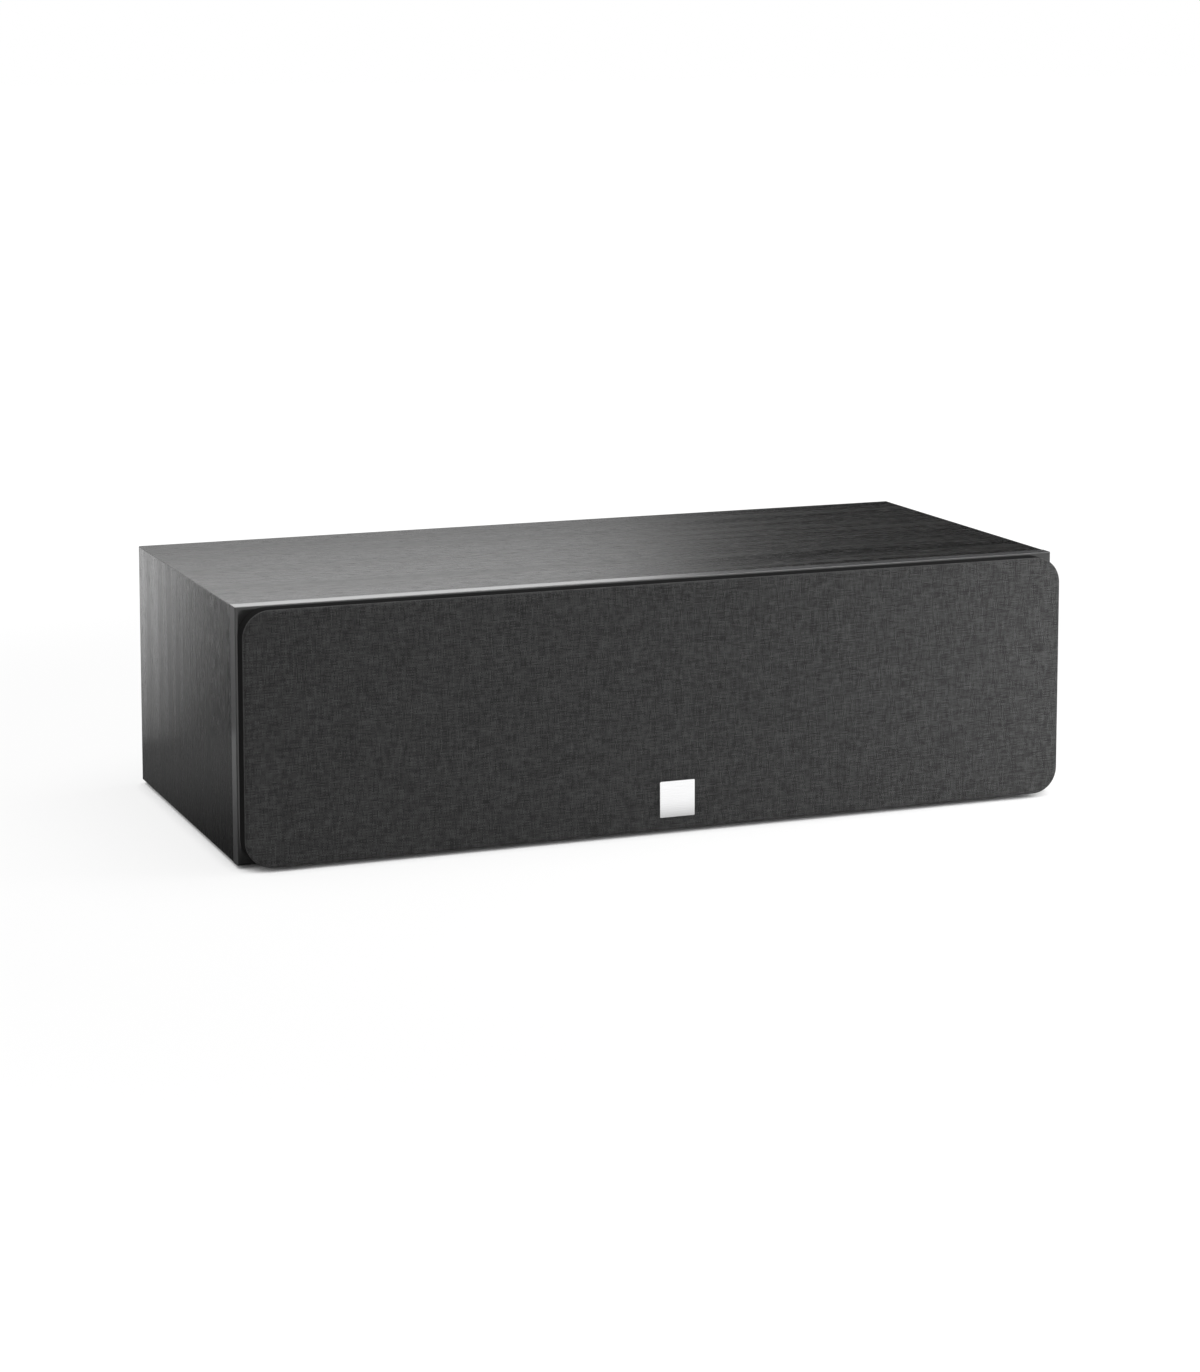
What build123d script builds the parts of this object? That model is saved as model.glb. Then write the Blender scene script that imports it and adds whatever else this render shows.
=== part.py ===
from build123d import *

import os
from math import cos, radians, sin, sqrt, tan

# Centre channel loudspeaker: two woofers and a tweeter in a wide, low, vinyl wrapped cabinet with a
# painted baffle and a pull-off cloth grille. Millimetres, +Z up, the front faces -Y, and the origin is
# under the middle of the whole, on the surface that the feet stand on.

# Carcass
cabinet_width = 558.0
cabinet_height = 160.0
carcass_depth = 234.0
wall = 15.0
cabinet_edge_radius = 0.8
rear_recess = 4.0
rear_thickness = 15.0
panel_fit = 0.2

# Feet
foot_radius = 8.0
foot_height = 2.0
foot_edge_radius = 0.5
foot_inset_x = 45.0
foot_inset_y = 35.0

# Front baffle
baffle_lip = 11.0
baffle_plug = 8.0
baffle_edge_radius = 1.9

# Grille
grille_gap = 0.6
grille_depth = 14.25
grille_side_margin = 1.25
grille_edge_margin = 0.85
grille_corner_radius = 17.0
grille_end_bar = 15.0
grille_long_bar = 8.0
grille_cross_bar = 10.0
grille_bar_setback = 3.0
grille_window_radius = 7.0
cloth_thickness = 0.8
cloth_wrap = 3.3
cloth_edge_radius = 1.5
cloth_ease = 0.05
peg_radius = 2.9
peg_length = 8.5
peg_chamfer = 0.6
peg_inset_x = 15.0
peg_inset_z = 17.0
socket_wall = 1.9
socket_fit = 0.1
socket_floor = 0.8
socket_rim_width = 1.2
socket_rim = 0.5

# Badge
badge_width = 24.0
badge_height = 23.4
badge_thickness = 1.0
badge_corner_radius = 0.6
badge_chamfer = 0.2
badge_rise = 8.2
badge_offset = 4.0

# Woofers, placed from the cabinet's ends, with depths counted inwards from the baffle's face
woofer_inset = 119.0
woofer_cutout_radius = 58.0
flange_radius = 68.0
flange_thickness = 4.0
flange_fit = 0.3
surround_seat = 1.8
surround_lip = 3.0
surround_thickness = 0.7
roll_width = 9.0
cone_radius = 46.5
cone_rim = 3.0
cone_thickness = 1.2
cone_depth = 22.0
dust_cap_radius = 18.0
dust_cap_height = 5.5
dust_cap_thickness = 0.8
basket_wall = 2.5
basket_clearance = 1.0
basket_depth = 44.0
basket_shelf_depth = 29.5
basket_shelf_radius = 48.0
basket_shelf_width = 10.0
basket_cup_radius = 44.0
basket_floor = 3.0
basket_window_count = 6
basket_window_width = 34.0
basket_window_radius = 5.0
basket_window_front = 8.0
basket_window_margin = 4.0
spider_thickness = 0.6
spider_ripple = 0.9
spider_ripple_count = 9
spider_edge_gap = 0.5
coil_radius = 12.6
former_thickness = 0.45
winding_thickness = 0.7
winding_length = 10.0
former_tail = 1.0
former_nose = 1.5
glue_line = 0.05
pole_gap = 0.3
plate_gap = 0.4
plate_radius = 36.0
plate_thickness = 5.0
magnet_radius = 42.5
magnet_bore = 22.0
magnet_thickness = 15.0
yoke_thickness = 5.0
pole_vent_radius = 5.0
steel_chamfer = 1.0
woofer_screw_count = 6

# Screws of the drivers and the terminal cup
screw_radius = 2.0
screw_head_radius = 3.6
screw_head_height = 2.4
screw_length = 16.0
screw_fit = 0.05
screw_head_fit = 0.3
screw_hex = 1.5
hex_sides = 6
screw_hex_depth = 1.4

# Tweeter, with depths counted inwards from the baffle's face
tweeter_radius = 50.0
tweeter_thickness = 4.0
tweeter_cutout_radius = 38.0
horn_mouth_radius = 29.0
horn_throat_radius = 16.6
horn_throat_depth = 3.0
dome_radius = 13.2
dome_height = 5.0
dome_thickness = 0.5
dome_roll_width = 2.6
dome_lip = 3.0
dome_coil_length = 7.0
dome_winding_length = 3.0
dome_coil_clearance = 0.1
dome_pole_gap = 0.3
dome_plate_gap = 0.4
tweeter_plate_radius = 34.0
tweeter_plate_thickness = 4.0
tweeter_magnet_radius = 36.0
tweeter_magnet_bore = 18.0
tweeter_magnet_thickness = 10.0
tweeter_yoke_thickness = 4.0
tweeter_screw_count = 4
tweeter_screw_inset = 6.0
tweeter_screw_angle = 45.0

# Reflex ports
port_spacing = 200.0
port_bore_radius = 21.0
port_wall = 2.0
port_length = 104.0
port_flare = 9.0
port_flange_width = 5.0
port_flange_thickness = 3.0
port_collar_length = 11.0
port_fit = 0.3

# Terminal cup and binding posts, with depths counted inwards from the cup's flange
cup_width = 104.0
cup_height = 78.0
cup_flange = 3.0
cup_corner_radius = 8.0
cup_pocket_width = 78.0
cup_pocket_height = 52.0
cup_pocket_depth = 23.0
cup_pocket_radius = 7.0
cup_wall = 2.5
cup_fit = 0.4
cup_edge_radius = 1.0
cup_screw_inset = 7.0
post_spacing = 32.0
post_radius = 3.0
post_tip = 3.0
post_tail = 14.0
post_collar_radius = 6.5
post_collar = 2.5
post_hole_fit = 0.05
banana_radius = 2.0
banana_length = 14.0
clamp_washer_thickness = 1.2
clamp_washer_radius = 6.0
clamp_gap = 0.05
thread_clearance = 0.05
nut_radius = 8.0
nut_length = 12.0
nut_flute_radius = 1.1
nut_flute_count = 12
nut_chamfer = 1.0
lock_nut_flats = 10.0
lock_nut_thickness = 3.5

# Crossover
board_width = 130.0
board_thickness = 1.6
board_setback = 66.0
board_corner_radius = 3.0
board_row_gap = 3.5
spacer_height = 8.0
spacer_radius = 3.5
spacer_pin_radius = 1.6
spacer_cap_radius = 2.6
spacer_cap_height = 1.5
spacer_cap_angle = 20.0
spacer_inset = 7.0
low_coil_radius = 21.0
low_coil_height = 20.0
high_coil_radius = 14.0
high_coil_height = 15.0
coil_edge_gap = 4.0
coil_end_gap = 6.0
coil_bore_share = 0.42
coil_groove = 1.5
coil_cheek = 2.0
capacitor_radius = 8.5
capacitor_length = 34.0
capacitor_pitch = 20.0
capacitor_count = 2
capacitor_x = 4.0
capacitor_gap = 1.2
capacitor_edge = 1.0
resistor_length = 22.0
resistor_side = 9.0
resistor_pitch = 14.0
resistor_count = 2
resistor_end_gap = 10.0
resistor_edge_gap = 5.5
resistor_edge = 0.8

# Wadding
wadding_depth = 26.0
wadding_clearance = 6.0
wadding_corner_radius = 8.0
wadding_edge_radius = 4.0

# Leads
lead_radius = 1.3
lead_run_share = 0.45
lead_rise = 15.0
lead_floor_gap = 6.0
lead_inset = 6.0
lead_seat = 0.2
tweeter_tag_drop = 14.0
tweeter_lead_reach = 32.0

# Derived planes along Y, from the rear to the front
total_depth = carcass_depth + baffle_lip + grille_gap + grille_depth + badge_thickness
rear_y = total_depth / 2
rear_face_y = rear_y - rear_recess
rear_inner_y = rear_face_y - rear_thickness
carcass_front_y = rear_y - carcass_depth
baffle_face_y = carcass_front_y - baffle_lip
baffle_inner_y = carcass_front_y + baffle_plug
frame_back_y = baffle_face_y - grille_gap
cloth_face_y = frame_back_y - grille_depth

# Derived heights and inner sizes of the carcass
underside_z = foot_height
mid_z = underside_z + cabinet_height / 2
top_z = underside_z + cabinet_height
floor_z = underside_z + wall
inner_width = cabinet_width - 2 * wall
inner_height = cabinet_height - 2 * wall

woofer_x = cabinet_width / 2 - woofer_inset
woofer_places = {"left": -woofer_x, "right": woofer_x}
port_places = {"left": -port_spacing / 2, "right": port_spacing / 2}
post_places = {"red": -post_spacing / 2, "black": post_spacing / 2}


def front_plane(y):
    """Plane at depth y that faces the front: sketch X is the width and sketch Y the height."""
    return Plane.XZ.offset(-y)


def rear_plane(y):
    """Plane at depth y that faces the rear: sketch X is the width, reversed, and sketch Y the height."""
    return Plane(origin=(0, y, 0), x_dir=(-1, 0, 0), z_dir=(0, 1, 0))


def section_plane(x, y):
    """Plane through an axis along Y: sketch X is the radius and sketch Y the depth behind y."""
    return Plane(origin=(x, y, mid_z), x_dir=(1, 0, 0), z_dir=(0, 0, 1))


def depth_axis(x):
    """Axis along Y at the middle of the cabinet's height."""
    return Axis((x, 0, mid_z), (0, 1, 0))


def cap_depth(radius, edge_radius, height, edge_depth):
    """Depth of a spherical cap at a radius, for a cap that rises by height from its edge."""
    sphere = (edge_radius**2 + height**2) / (2 * height)
    return edge_depth - height + sphere - sqrt(sphere**2 - radius**2)


def ring_of(x, radius, count, start=0.0):
    """Sketch places of count points on a circle around an axis at x, from a start angle."""
    angles = [radians(start + 360 * i / count) for i in range(count)]
    return [(x + radius * cos(a), mid_z + radius * sin(a)) for a in angles]


def cut_screw_holes(face, places, thickness):
    """Cut clearance holes with head recesses into the part in hand, inwards from a face."""
    with BuildSketch(face) as shank_holes:
        with Locations(places):
            Circle(screw_radius + screw_fit)
    extrude(shank_holes.sketch, amount=-thickness, mode=Mode.SUBTRACT)
    with BuildSketch(face) as head_recesses:
        with Locations(places):
            Circle(screw_head_radius + screw_head_fit)
    extrude(head_recesses.sketch, amount=-screw_head_height, mode=Mode.SUBTRACT)


def add_screws(face, places):
    """Add socket head screws to the part in hand, with their heads flush with a face."""
    with BuildSketch(face) as shanks:
        with Locations(places):
            Circle(screw_radius)
    extrude(shanks.sketch, amount=-screw_length)
    with BuildSketch(face) as heads:
        with Locations(places):
            Circle(screw_head_radius)
    extrude(heads.sketch, amount=-screw_head_height)
    with BuildSketch(face) as sockets:
        with Locations(places):
            RegularPolygon(screw_hex, hex_sides, major_radius=False)
    extrude(sockets.sketch, amount=-screw_hex_depth, mode=Mode.SUBTRACT)


def bend_radii(points):
    """Radius of each corner of a lead: as large as its two runs leave room for."""
    corners = [Vector(*p) for p in points]
    radii = []
    for before, corner, after in zip(corners, corners[1:], corners[2:]):
        turn = (corner - before).get_angle(after - corner)
        shorter_run = min((corner - before).length, (after - corner).length)
        radii.append(lead_run_share * shorter_run / tan(radians(turn / 2)))
    return radii


def write(piece, name):
    """Label a finished piece and write its STEP file."""
    piece.part.label = name
    export_step(piece.part, f"parts/{name}.step")


os.makedirs("parts", exist_ok=True)

# Carcass panels: one rounded ring, cut along the mitres at its four corners and, between the long
# panels, at half its height
left_x, right_x = -cabinet_width / 2, cabinet_width / 2
mitres = {
    "cabinet_top": [
        ((left_x, 0, top_z), (1, 0, 1)),
        ((right_x, 0, top_z), (-1, 0, 1)),
        ((0, 0, mid_z), (0, 0, 1)),
    ],
    "cabinet_bottom": [
        ((left_x, 0, underside_z), (1, 0, -1)),
        ((right_x, 0, underside_z), (-1, 0, -1)),
        ((0, 0, mid_z), (0, 0, -1)),
    ],
    "cabinet_left_side": [((left_x, 0, top_z), (-1, 0, -1)), ((left_x, 0, underside_z), (-1, 0, 1))],
    "cabinet_right_side": [((right_x, 0, top_z), (1, 0, -1)), ((right_x, 0, underside_z), (1, 0, 1))],
}
for name, cuts in mitres.items():
    with BuildPart() as panel:
        with BuildSketch(front_plane(rear_y)):
            with Locations((0, mid_z)):
                RectangleRounded(cabinet_width, cabinet_height, cabinet_edge_radius)
                Rectangle(inner_width, inner_height, mode=Mode.SUBTRACT)
        extrude(amount=carcass_depth)
        for corner, kept_side in cuts:
            split(bisect_by=Plane(origin=corner, z_dir=kept_side), keep=Keep.TOP)
    write(panel, name)

# Feet: round rubber buttons near the corners of the underside
with BuildPart() as feet:
    with BuildSketch(Plane.XY):
        with Locations((0, rear_y - carcass_depth / 2)):
            with GridLocations(cabinet_width - 2 * foot_inset_x, carcass_depth - 2 * foot_inset_y, 2, 2):
                Circle(foot_radius)
    extrude(amount=foot_height)
    fillet(feet.faces().group_by(Axis.Z)[0].edges(), foot_edge_radius)
write(feet, "feet")

# Rear panel: set between the four walls, with holes for the ports and the terminal cup
port_hole_radius = port_bore_radius + port_wall + port_flare / 2
cup_body_width = cup_pocket_width + 2 * cup_wall
cup_body_height = cup_pocket_height + 2 * cup_wall
cup_body_radius = cup_pocket_radius + cup_wall
cup_screw_x = cup_width / 2 - cup_screw_inset
cup_screw_z = cup_height / 2 - cup_screw_inset
cup_screw_places = [(x, mid_z + z) for x in (-cup_screw_x, cup_screw_x) for z in (-cup_screw_z, cup_screw_z)]
with BuildPart() as rear_panel:
    with BuildSketch(front_plane(rear_face_y)):
        with Locations((0, mid_z)):
            Rectangle(inner_width - 2 * panel_fit, inner_height - 2 * panel_fit)
            RectangleRounded(
                cup_body_width + 2 * cup_fit,
                cup_body_height + 2 * cup_fit,
                cup_body_radius,
                mode=Mode.SUBTRACT,
            )
        with Locations([(x, mid_z) for x in port_places.values()]):
            Circle(port_hole_radius + port_fit, mode=Mode.SUBTRACT)
    extrude(amount=rear_thickness)
    with BuildSketch(front_plane(rear_face_y)):
        with Locations(cup_screw_places):
            Circle(screw_radius + screw_fit)
    extrude(amount=rear_thickness, mode=Mode.SUBTRACT)
write(rear_panel, "rear_panel")

# Places of the grille's pegs, which the sockets in the baffle share
grille_width = cabinet_width - 2 * grille_side_margin
grille_height = cabinet_height - 2 * grille_edge_margin
cross_bar_x = (woofer_x - flange_radius + tweeter_radius) / 2
peg_x = grille_width / 2 - peg_inset_x
peg_z = grille_height / 2 - peg_inset_z
peg_places = [(x, mid_z + z) for x in (-peg_x, -cross_bar_x, cross_bar_x, peg_x) for z in (-peg_z, peg_z)]
socket_bore = peg_radius + socket_fit
socket_radius = socket_bore + socket_wall
socket_depth = peg_length - grille_gap + socket_floor + socket_fit

# Screw circles of the drivers
surround_outer = cone_radius + roll_width + surround_lip
flange_step = surround_outer + flange_fit
woofer_screw_circle = (flange_radius + flange_step) / 2
woofer_screw_places = {
    side: ring_of(x, woofer_screw_circle, woofer_screw_count) for side, x in woofer_places.items()
}
tweeter_screw_circle = tweeter_radius - tweeter_screw_inset
tweeter_screw_places = ring_of(0, tweeter_screw_circle, tweeter_screw_count, tweeter_screw_angle)

# Front baffle: a lip over the carcass's edges, a plug inside them, and the drivers' rebates
with BuildPart() as front_baffle:
    with BuildSketch(front_plane(carcass_front_y)):
        with Locations((0, mid_z)):
            Rectangle(cabinet_width, cabinet_height)
    extrude(amount=baffle_lip)
    fillet(front_baffle.faces().sort_by(Axis.Y)[0].edges(), baffle_edge_radius)
    with BuildSketch(front_plane(baffle_inner_y)):
        with Locations((0, mid_z)):
            Rectangle(inner_width - 2 * panel_fit, inner_height - 2 * panel_fit)
    extrude(amount=baffle_plug)
    with BuildSketch(front_plane(baffle_inner_y)):
        with Locations([(x, mid_z) for x in woofer_places.values()]):
            Circle(woofer_cutout_radius)
        with Locations((0, mid_z)):
            Circle(tweeter_cutout_radius)
        with Locations(woofer_screw_places["left"] + woofer_screw_places["right"] + tweeter_screw_places):
            Circle(screw_radius + screw_fit)
    extrude(amount=baffle_plug + baffle_lip, mode=Mode.SUBTRACT)
    with BuildSketch(front_plane(baffle_face_y + flange_thickness)):
        with Locations([(x, mid_z) for x in woofer_places.values()]):
            Circle(flange_radius + flange_fit)
    extrude(amount=flange_thickness, mode=Mode.SUBTRACT)
    with BuildSketch(front_plane(baffle_face_y + tweeter_thickness)):
        with Locations((0, mid_z)):
            Circle(tweeter_radius + flange_fit)
    extrude(amount=tweeter_thickness, mode=Mode.SUBTRACT)
    with BuildSketch(front_plane(baffle_face_y + socket_depth)):
        with Locations(peg_places):
            Circle(socket_radius)
    extrude(amount=socket_depth, mode=Mode.SUBTRACT)
write(front_baffle, "front_baffle")

# Grille sockets: rubber cups with a thin rim on the baffle's face, under the grille frame
with BuildPart() as grille_sockets:
    with BuildSketch(front_plane(baffle_face_y + socket_depth)):
        with Locations(peg_places):
            Circle(socket_radius)
    extrude(amount=socket_depth)
    with BuildSketch(front_plane(baffle_face_y)):
        with Locations(peg_places):
            Circle(socket_radius + socket_rim_width)
    extrude(amount=socket_rim)
    with BuildSketch(front_plane(baffle_face_y + socket_depth - socket_floor)):
        with Locations(peg_places):
            Circle(socket_bore)
    extrude(amount=socket_depth - socket_floor + socket_rim, mode=Mode.SUBTRACT)
write(grille_sockets, "grille_sockets")

# Grille frame: moulded ring with two cross bars set back from the cloth, and pegs on its back
window_height = grille_height - 2 * grille_long_bar
end_window_inner = cross_bar_x + grille_cross_bar / 2
end_window_outer = grille_width / 2 - grille_end_bar
end_window_width = end_window_outer - end_window_inner
end_window_x = (end_window_outer + end_window_inner) / 2
middle_window_width = 2 * cross_bar_x - grille_cross_bar
cloth_inset = cloth_thickness + cloth_ease
rim_depth = grille_depth - cloth_inset
with BuildPart() as grille_frame:
    with BuildSketch(front_plane(frame_back_y)):
        with Locations((0, mid_z)):
            RectangleRounded(grille_width, grille_height, grille_corner_radius)
    extrude(amount=grille_depth - cloth_wrap)
    with BuildSketch(front_plane(frame_back_y)):
        with Locations((0, mid_z)):
            RectangleRounded(
                grille_width - 2 * cloth_inset,
                grille_height - 2 * cloth_inset,
                grille_corner_radius - cloth_inset,
            )
    extrude(amount=rim_depth)
    fillet(grille_frame.faces().sort_by(Axis.Y)[0].edges(), cloth_edge_radius - cloth_inset)
    with BuildSketch(front_plane(frame_back_y)):
        with Locations((-end_window_x, mid_z), (end_window_x, mid_z)):
            RectangleRounded(end_window_width, window_height, grille_window_radius)
        with Locations((0, mid_z)):
            RectangleRounded(middle_window_width, window_height, grille_window_radius)
    extrude(amount=grille_depth, mode=Mode.SUBTRACT)
    with BuildSketch(front_plane(frame_back_y - rim_depth + grille_bar_setback)):
        with Locations((0, mid_z)):
            RectangleRounded(2 * end_window_outer, window_height, grille_window_radius)
    extrude(amount=grille_bar_setback, mode=Mode.SUBTRACT)
    with BuildSketch(front_plane(frame_back_y + peg_length)):
        with Locations(peg_places):
            Circle(peg_radius)
    extrude(amount=peg_length)
    chamfer(grille_frame.faces().group_by(Axis.Y)[-1].edges(), peg_chamfer)
write(grille_frame, "grille_frame")

# Grille cloth: one sheet over the front, turned over the frame's rounded edge into its step
with BuildPart() as cloth_core:
    with BuildSketch(front_plane(cloth_face_y + cloth_wrap)):
        with Locations((0, mid_z)):
            RectangleRounded(
                grille_width - 2 * cloth_thickness,
                grille_height - 2 * cloth_thickness,
                grille_corner_radius - cloth_thickness,
            )
    extrude(amount=cloth_wrap - cloth_thickness)
    fillet(cloth_core.faces().sort_by(Axis.Y)[0].edges(), cloth_edge_radius - cloth_thickness)
with BuildPart() as grille_cloth:
    with BuildSketch(front_plane(cloth_face_y + cloth_wrap)):
        with Locations((0, mid_z)):
            RectangleRounded(grille_width, grille_height, grille_corner_radius)
    extrude(amount=cloth_wrap)
    fillet(grille_cloth.faces().sort_by(Axis.Y)[0].edges(), cloth_edge_radius)
    add(cloth_core.part, mode=Mode.SUBTRACT)
write(grille_cloth, "grille_cloth")

# Badge: a small bare plate on the cloth, low in the middle
badge_z = underside_z + grille_edge_margin + badge_rise + badge_height / 2
with BuildPart() as grille_badge:
    with BuildSketch(front_plane(cloth_face_y)):
        with Locations((badge_offset, badge_z)):
            RectangleRounded(badge_width, badge_height, badge_corner_radius)
    extrude(amount=badge_thickness)
    chamfer(grille_badge.faces().sort_by(Axis.Y)[0].edges(), badge_chamfer)
write(grille_badge, "grille_badge")

# Depths and radii that the woofers' pieces share
former_radius = coil_radius + former_thickness
neck_radius = former_radius + glue_line
cone_rim_inner = cone_radius - cone_rim
neck_depth = surround_seat + cone_depth
roll_outer = cone_radius + roll_width
roll_middle = cone_radius + roll_width / 2
roll_radius = roll_width / 2
skirt_radius = woofer_cutout_radius - basket_clearance
shelf_inner = basket_shelf_radius - basket_shelf_width
shelf_wall_inner = basket_shelf_radius - basket_wall
cup_inner = basket_cup_radius - basket_wall
magnet_front = basket_depth + plate_thickness
yoke_front = magnet_front + magnet_thickness
winding_radius = former_radius + winding_thickness
winding_front = basket_depth + (plate_thickness - winding_length) / 2
cap_seat = surround_seat + cone_depth * (cone_rim_inner - dust_cap_radius) / (cone_rim_inner - neck_radius)
cap_inner_radius = dust_cap_radius - dust_cap_thickness
cap_inner_height = dust_cap_height - dust_cap_thickness
window_back = basket_shelf_depth - basket_window_margin

for side, x in woofer_places.items():
    driver_plane = section_plane(x, baffle_face_y)
    driver_axis = depth_axis(x)

    # Basket: flange, open conical skirt, shelf for the spider and a cup that carries the magnet
    with BuildPart() as basket:
        with BuildSketch(driver_plane):
            with BuildLine():
                Polyline(
                    (flange_radius, 0),
                    (flange_step, 0),
                    (flange_step, surround_seat),
                    (roll_outer, surround_seat),
                    (skirt_radius - basket_wall, flange_thickness),
                    (shelf_wall_inner, basket_shelf_depth),
                    (shelf_inner, basket_shelf_depth),
                    (shelf_inner, basket_shelf_depth + basket_floor),
                    (cup_inner, basket_shelf_depth + basket_floor),
                    (cup_inner, basket_depth - basket_floor),
                    (winding_radius + basket_wall, basket_depth - basket_floor),
                    (winding_radius + basket_wall, basket_depth),
                    (basket_cup_radius, basket_depth),
                    (basket_cup_radius, basket_shelf_depth + basket_floor),
                    (basket_shelf_radius, basket_shelf_depth),
                    (skirt_radius, flange_thickness),
                    (flange_radius, flange_thickness),
                    close=True,
                )
            make_face()
        revolve(axis=driver_axis)
        with BuildSketch(front_plane(baffle_face_y + window_back)):
            with Locations((x, mid_z)):
                with PolarLocations(basket_shelf_radius, basket_window_count):
                    RectangleRounded(basket_window_width, basket_window_width, basket_window_radius)
        extrude(amount=window_back - basket_window_front, mode=Mode.SUBTRACT)
        cut_screw_holes(front_plane(baffle_face_y), woofer_screw_places[side], flange_thickness)
    write(basket, f"woofer_{side}_basket")

    # Surround: a rubber half roll between the cone's rim and the flange
    lip_face = surround_seat - surround_thickness
    with BuildPart() as surround:
        with BuildSketch(driver_plane):
            with BuildLine():
                Polyline(
                    (cone_radius, lip_face),
                    (cone_rim_inner, lip_face),
                    (cone_rim_inner, surround_seat),
                    (cone_radius + surround_thickness, surround_seat),
                    (cone_radius + surround_thickness, lip_face),
                )
                ThreePointArc(
                    (cone_radius + surround_thickness, lip_face),
                    (roll_middle, lip_face - roll_radius + surround_thickness),
                    (roll_outer - surround_thickness, lip_face),
                )
                Polyline(
                    (roll_outer - surround_thickness, lip_face),
                    (roll_outer - surround_thickness, surround_seat),
                    (surround_outer, surround_seat),
                    (surround_outer, lip_face),
                    (roll_outer, lip_face),
                )
                ThreePointArc(
                    (roll_outer, lip_face),
                    (roll_middle, lip_face - roll_radius),
                    (cone_radius, lip_face),
                )
            make_face()
        revolve(axis=driver_axis)
    write(surround, f"woofer_{side}_surround")

    # Cone: pulp cone with a flat rim and a neck that fits the coil's former
    with BuildPart() as cone:
        with BuildSketch(driver_plane):
            with BuildLine():
                Polyline(
                    (cone_radius, surround_seat),
                    (cone_rim_inner, surround_seat),
                    (neck_radius, neck_depth),
                    (neck_radius, neck_depth + cone_thickness),
                    (cone_rim_inner, surround_seat + cone_thickness),
                    (cone_radius, surround_seat + cone_thickness),
                    close=True,
                )
            make_face()
        revolve(axis=driver_axis)
    write(cone, f"woofer_{side}_cone")

    # Dust cap: a shallow dome whose edge sits on the cone
    with BuildPart() as dust_cap:
        with BuildSketch(driver_plane):
            with BuildLine():
                outer_half = cap_depth(dust_cap_radius / 2, dust_cap_radius, dust_cap_height, cap_seat)
                inner_half = cap_depth(cap_inner_radius / 2, cap_inner_radius, cap_inner_height, cap_seat)
                ThreePointArc(
                    (0, cap_seat - dust_cap_height),
                    (dust_cap_radius / 2, outer_half),
                    (dust_cap_radius, cap_seat),
                )
                Line((dust_cap_radius, cap_seat), (cap_inner_radius, cap_seat))
                ThreePointArc(
                    (cap_inner_radius, cap_seat),
                    (cap_inner_radius / 2, inner_half),
                    (0, cap_seat - cap_inner_height),
                )
                Line((0, cap_seat - cap_inner_height), (0, cap_seat - dust_cap_height))
            make_face()
        revolve(axis=driver_axis)
    write(dust_cap, f"woofer_{side}_dust_cap")

    # Spider: a ring of ripples from the former to the basket's shelf
    spider_outer = shelf_wall_inner - spider_edge_gap
    ripple_end = shelf_inner - spider_ripple
    ripple_step = (ripple_end - neck_radius) / spider_ripple_count
    spider_face = basket_shelf_depth - spider_thickness
    ripple_radii = [neck_radius + i * ripple_step for i in range(spider_ripple_count + 1)]
    ripple_depths = [spider_face + spider_ripple * (1 - 2 * (i % 2)) for i in range(spider_ripple_count + 1)]
    spider_front = list(zip(ripple_radii, ripple_depths))
    spider_front += [(shelf_inner, spider_face), (spider_outer, spider_face)]
    spider_back = [(r, d + spider_thickness) for r, d in reversed(spider_front)]
    with BuildPart() as spider:
        with BuildSketch(driver_plane):
            with BuildLine():
                Polyline(*spider_front, *spider_back, close=True)
            make_face()
        revolve(axis=driver_axis)
    write(spider, f"woofer_{side}_spider")

    # Voice coil: a thin former with its winding around the rear end
    with BuildPart() as voice_coil:
        with BuildSketch(driver_plane):
            with BuildLine():
                Polyline(
                    (coil_radius, neck_depth - former_nose),
                    (former_radius, neck_depth - former_nose),
                    (former_radius, winding_front),
                    (winding_radius, winding_front),
                    (winding_radius, winding_front + winding_length),
                    (former_radius, winding_front + winding_length),
                    (former_radius, winding_front + winding_length + former_tail),
                    (coil_radius, winding_front + winding_length + former_tail),
                    close=True,
                )
            make_face()
        revolve(axis=driver_axis)
    write(voice_coil, f"woofer_{side}_voice_coil")

    # Magnet system: front plate, ferrite ring, and a back plate with the pole
    with BuildPart() as top_plate:
        with BuildSketch(front_plane(baffle_face_y + magnet_front)):
            with Locations((x, mid_z)):
                Circle(plate_radius)
                Circle(winding_radius + plate_gap, mode=Mode.SUBTRACT)
        extrude(amount=plate_thickness)
    write(top_plate, f"woofer_{side}_top_plate")

    with BuildPart() as magnet:
        with BuildSketch(front_plane(baffle_face_y + yoke_front)):
            with Locations((x, mid_z)):
                Circle(magnet_radius)
                Circle(magnet_bore, mode=Mode.SUBTRACT)
        extrude(amount=magnet_thickness)
        chamfer(magnet.edges().filter_by(GeomType.CIRCLE).group_by(SortBy.RADIUS)[-1], steel_chamfer)
    write(magnet, f"woofer_{side}_magnet")

    with BuildPart() as yoke:
        with BuildSketch(driver_plane):
            with BuildLine():
                Polyline(
                    (pole_vent_radius, basket_depth),
                    (coil_radius - pole_gap, basket_depth),
                    (coil_radius - pole_gap, yoke_front),
                    (plate_radius, yoke_front),
                    (plate_radius, yoke_front + yoke_thickness - steel_chamfer),
                    (plate_radius - steel_chamfer, yoke_front + yoke_thickness),
                    (pole_vent_radius, yoke_front + yoke_thickness),
                    close=True,
                )
            make_face()
        revolve(axis=driver_axis)
    write(yoke, f"woofer_{side}_yoke")

    # Screws: socket heads sunk in the flange
    with BuildPart() as woofer_screws:
        add_screws(front_plane(baffle_face_y), woofer_screw_places[side])
    write(woofer_screws, f"woofer_{side}_screws")

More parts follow.
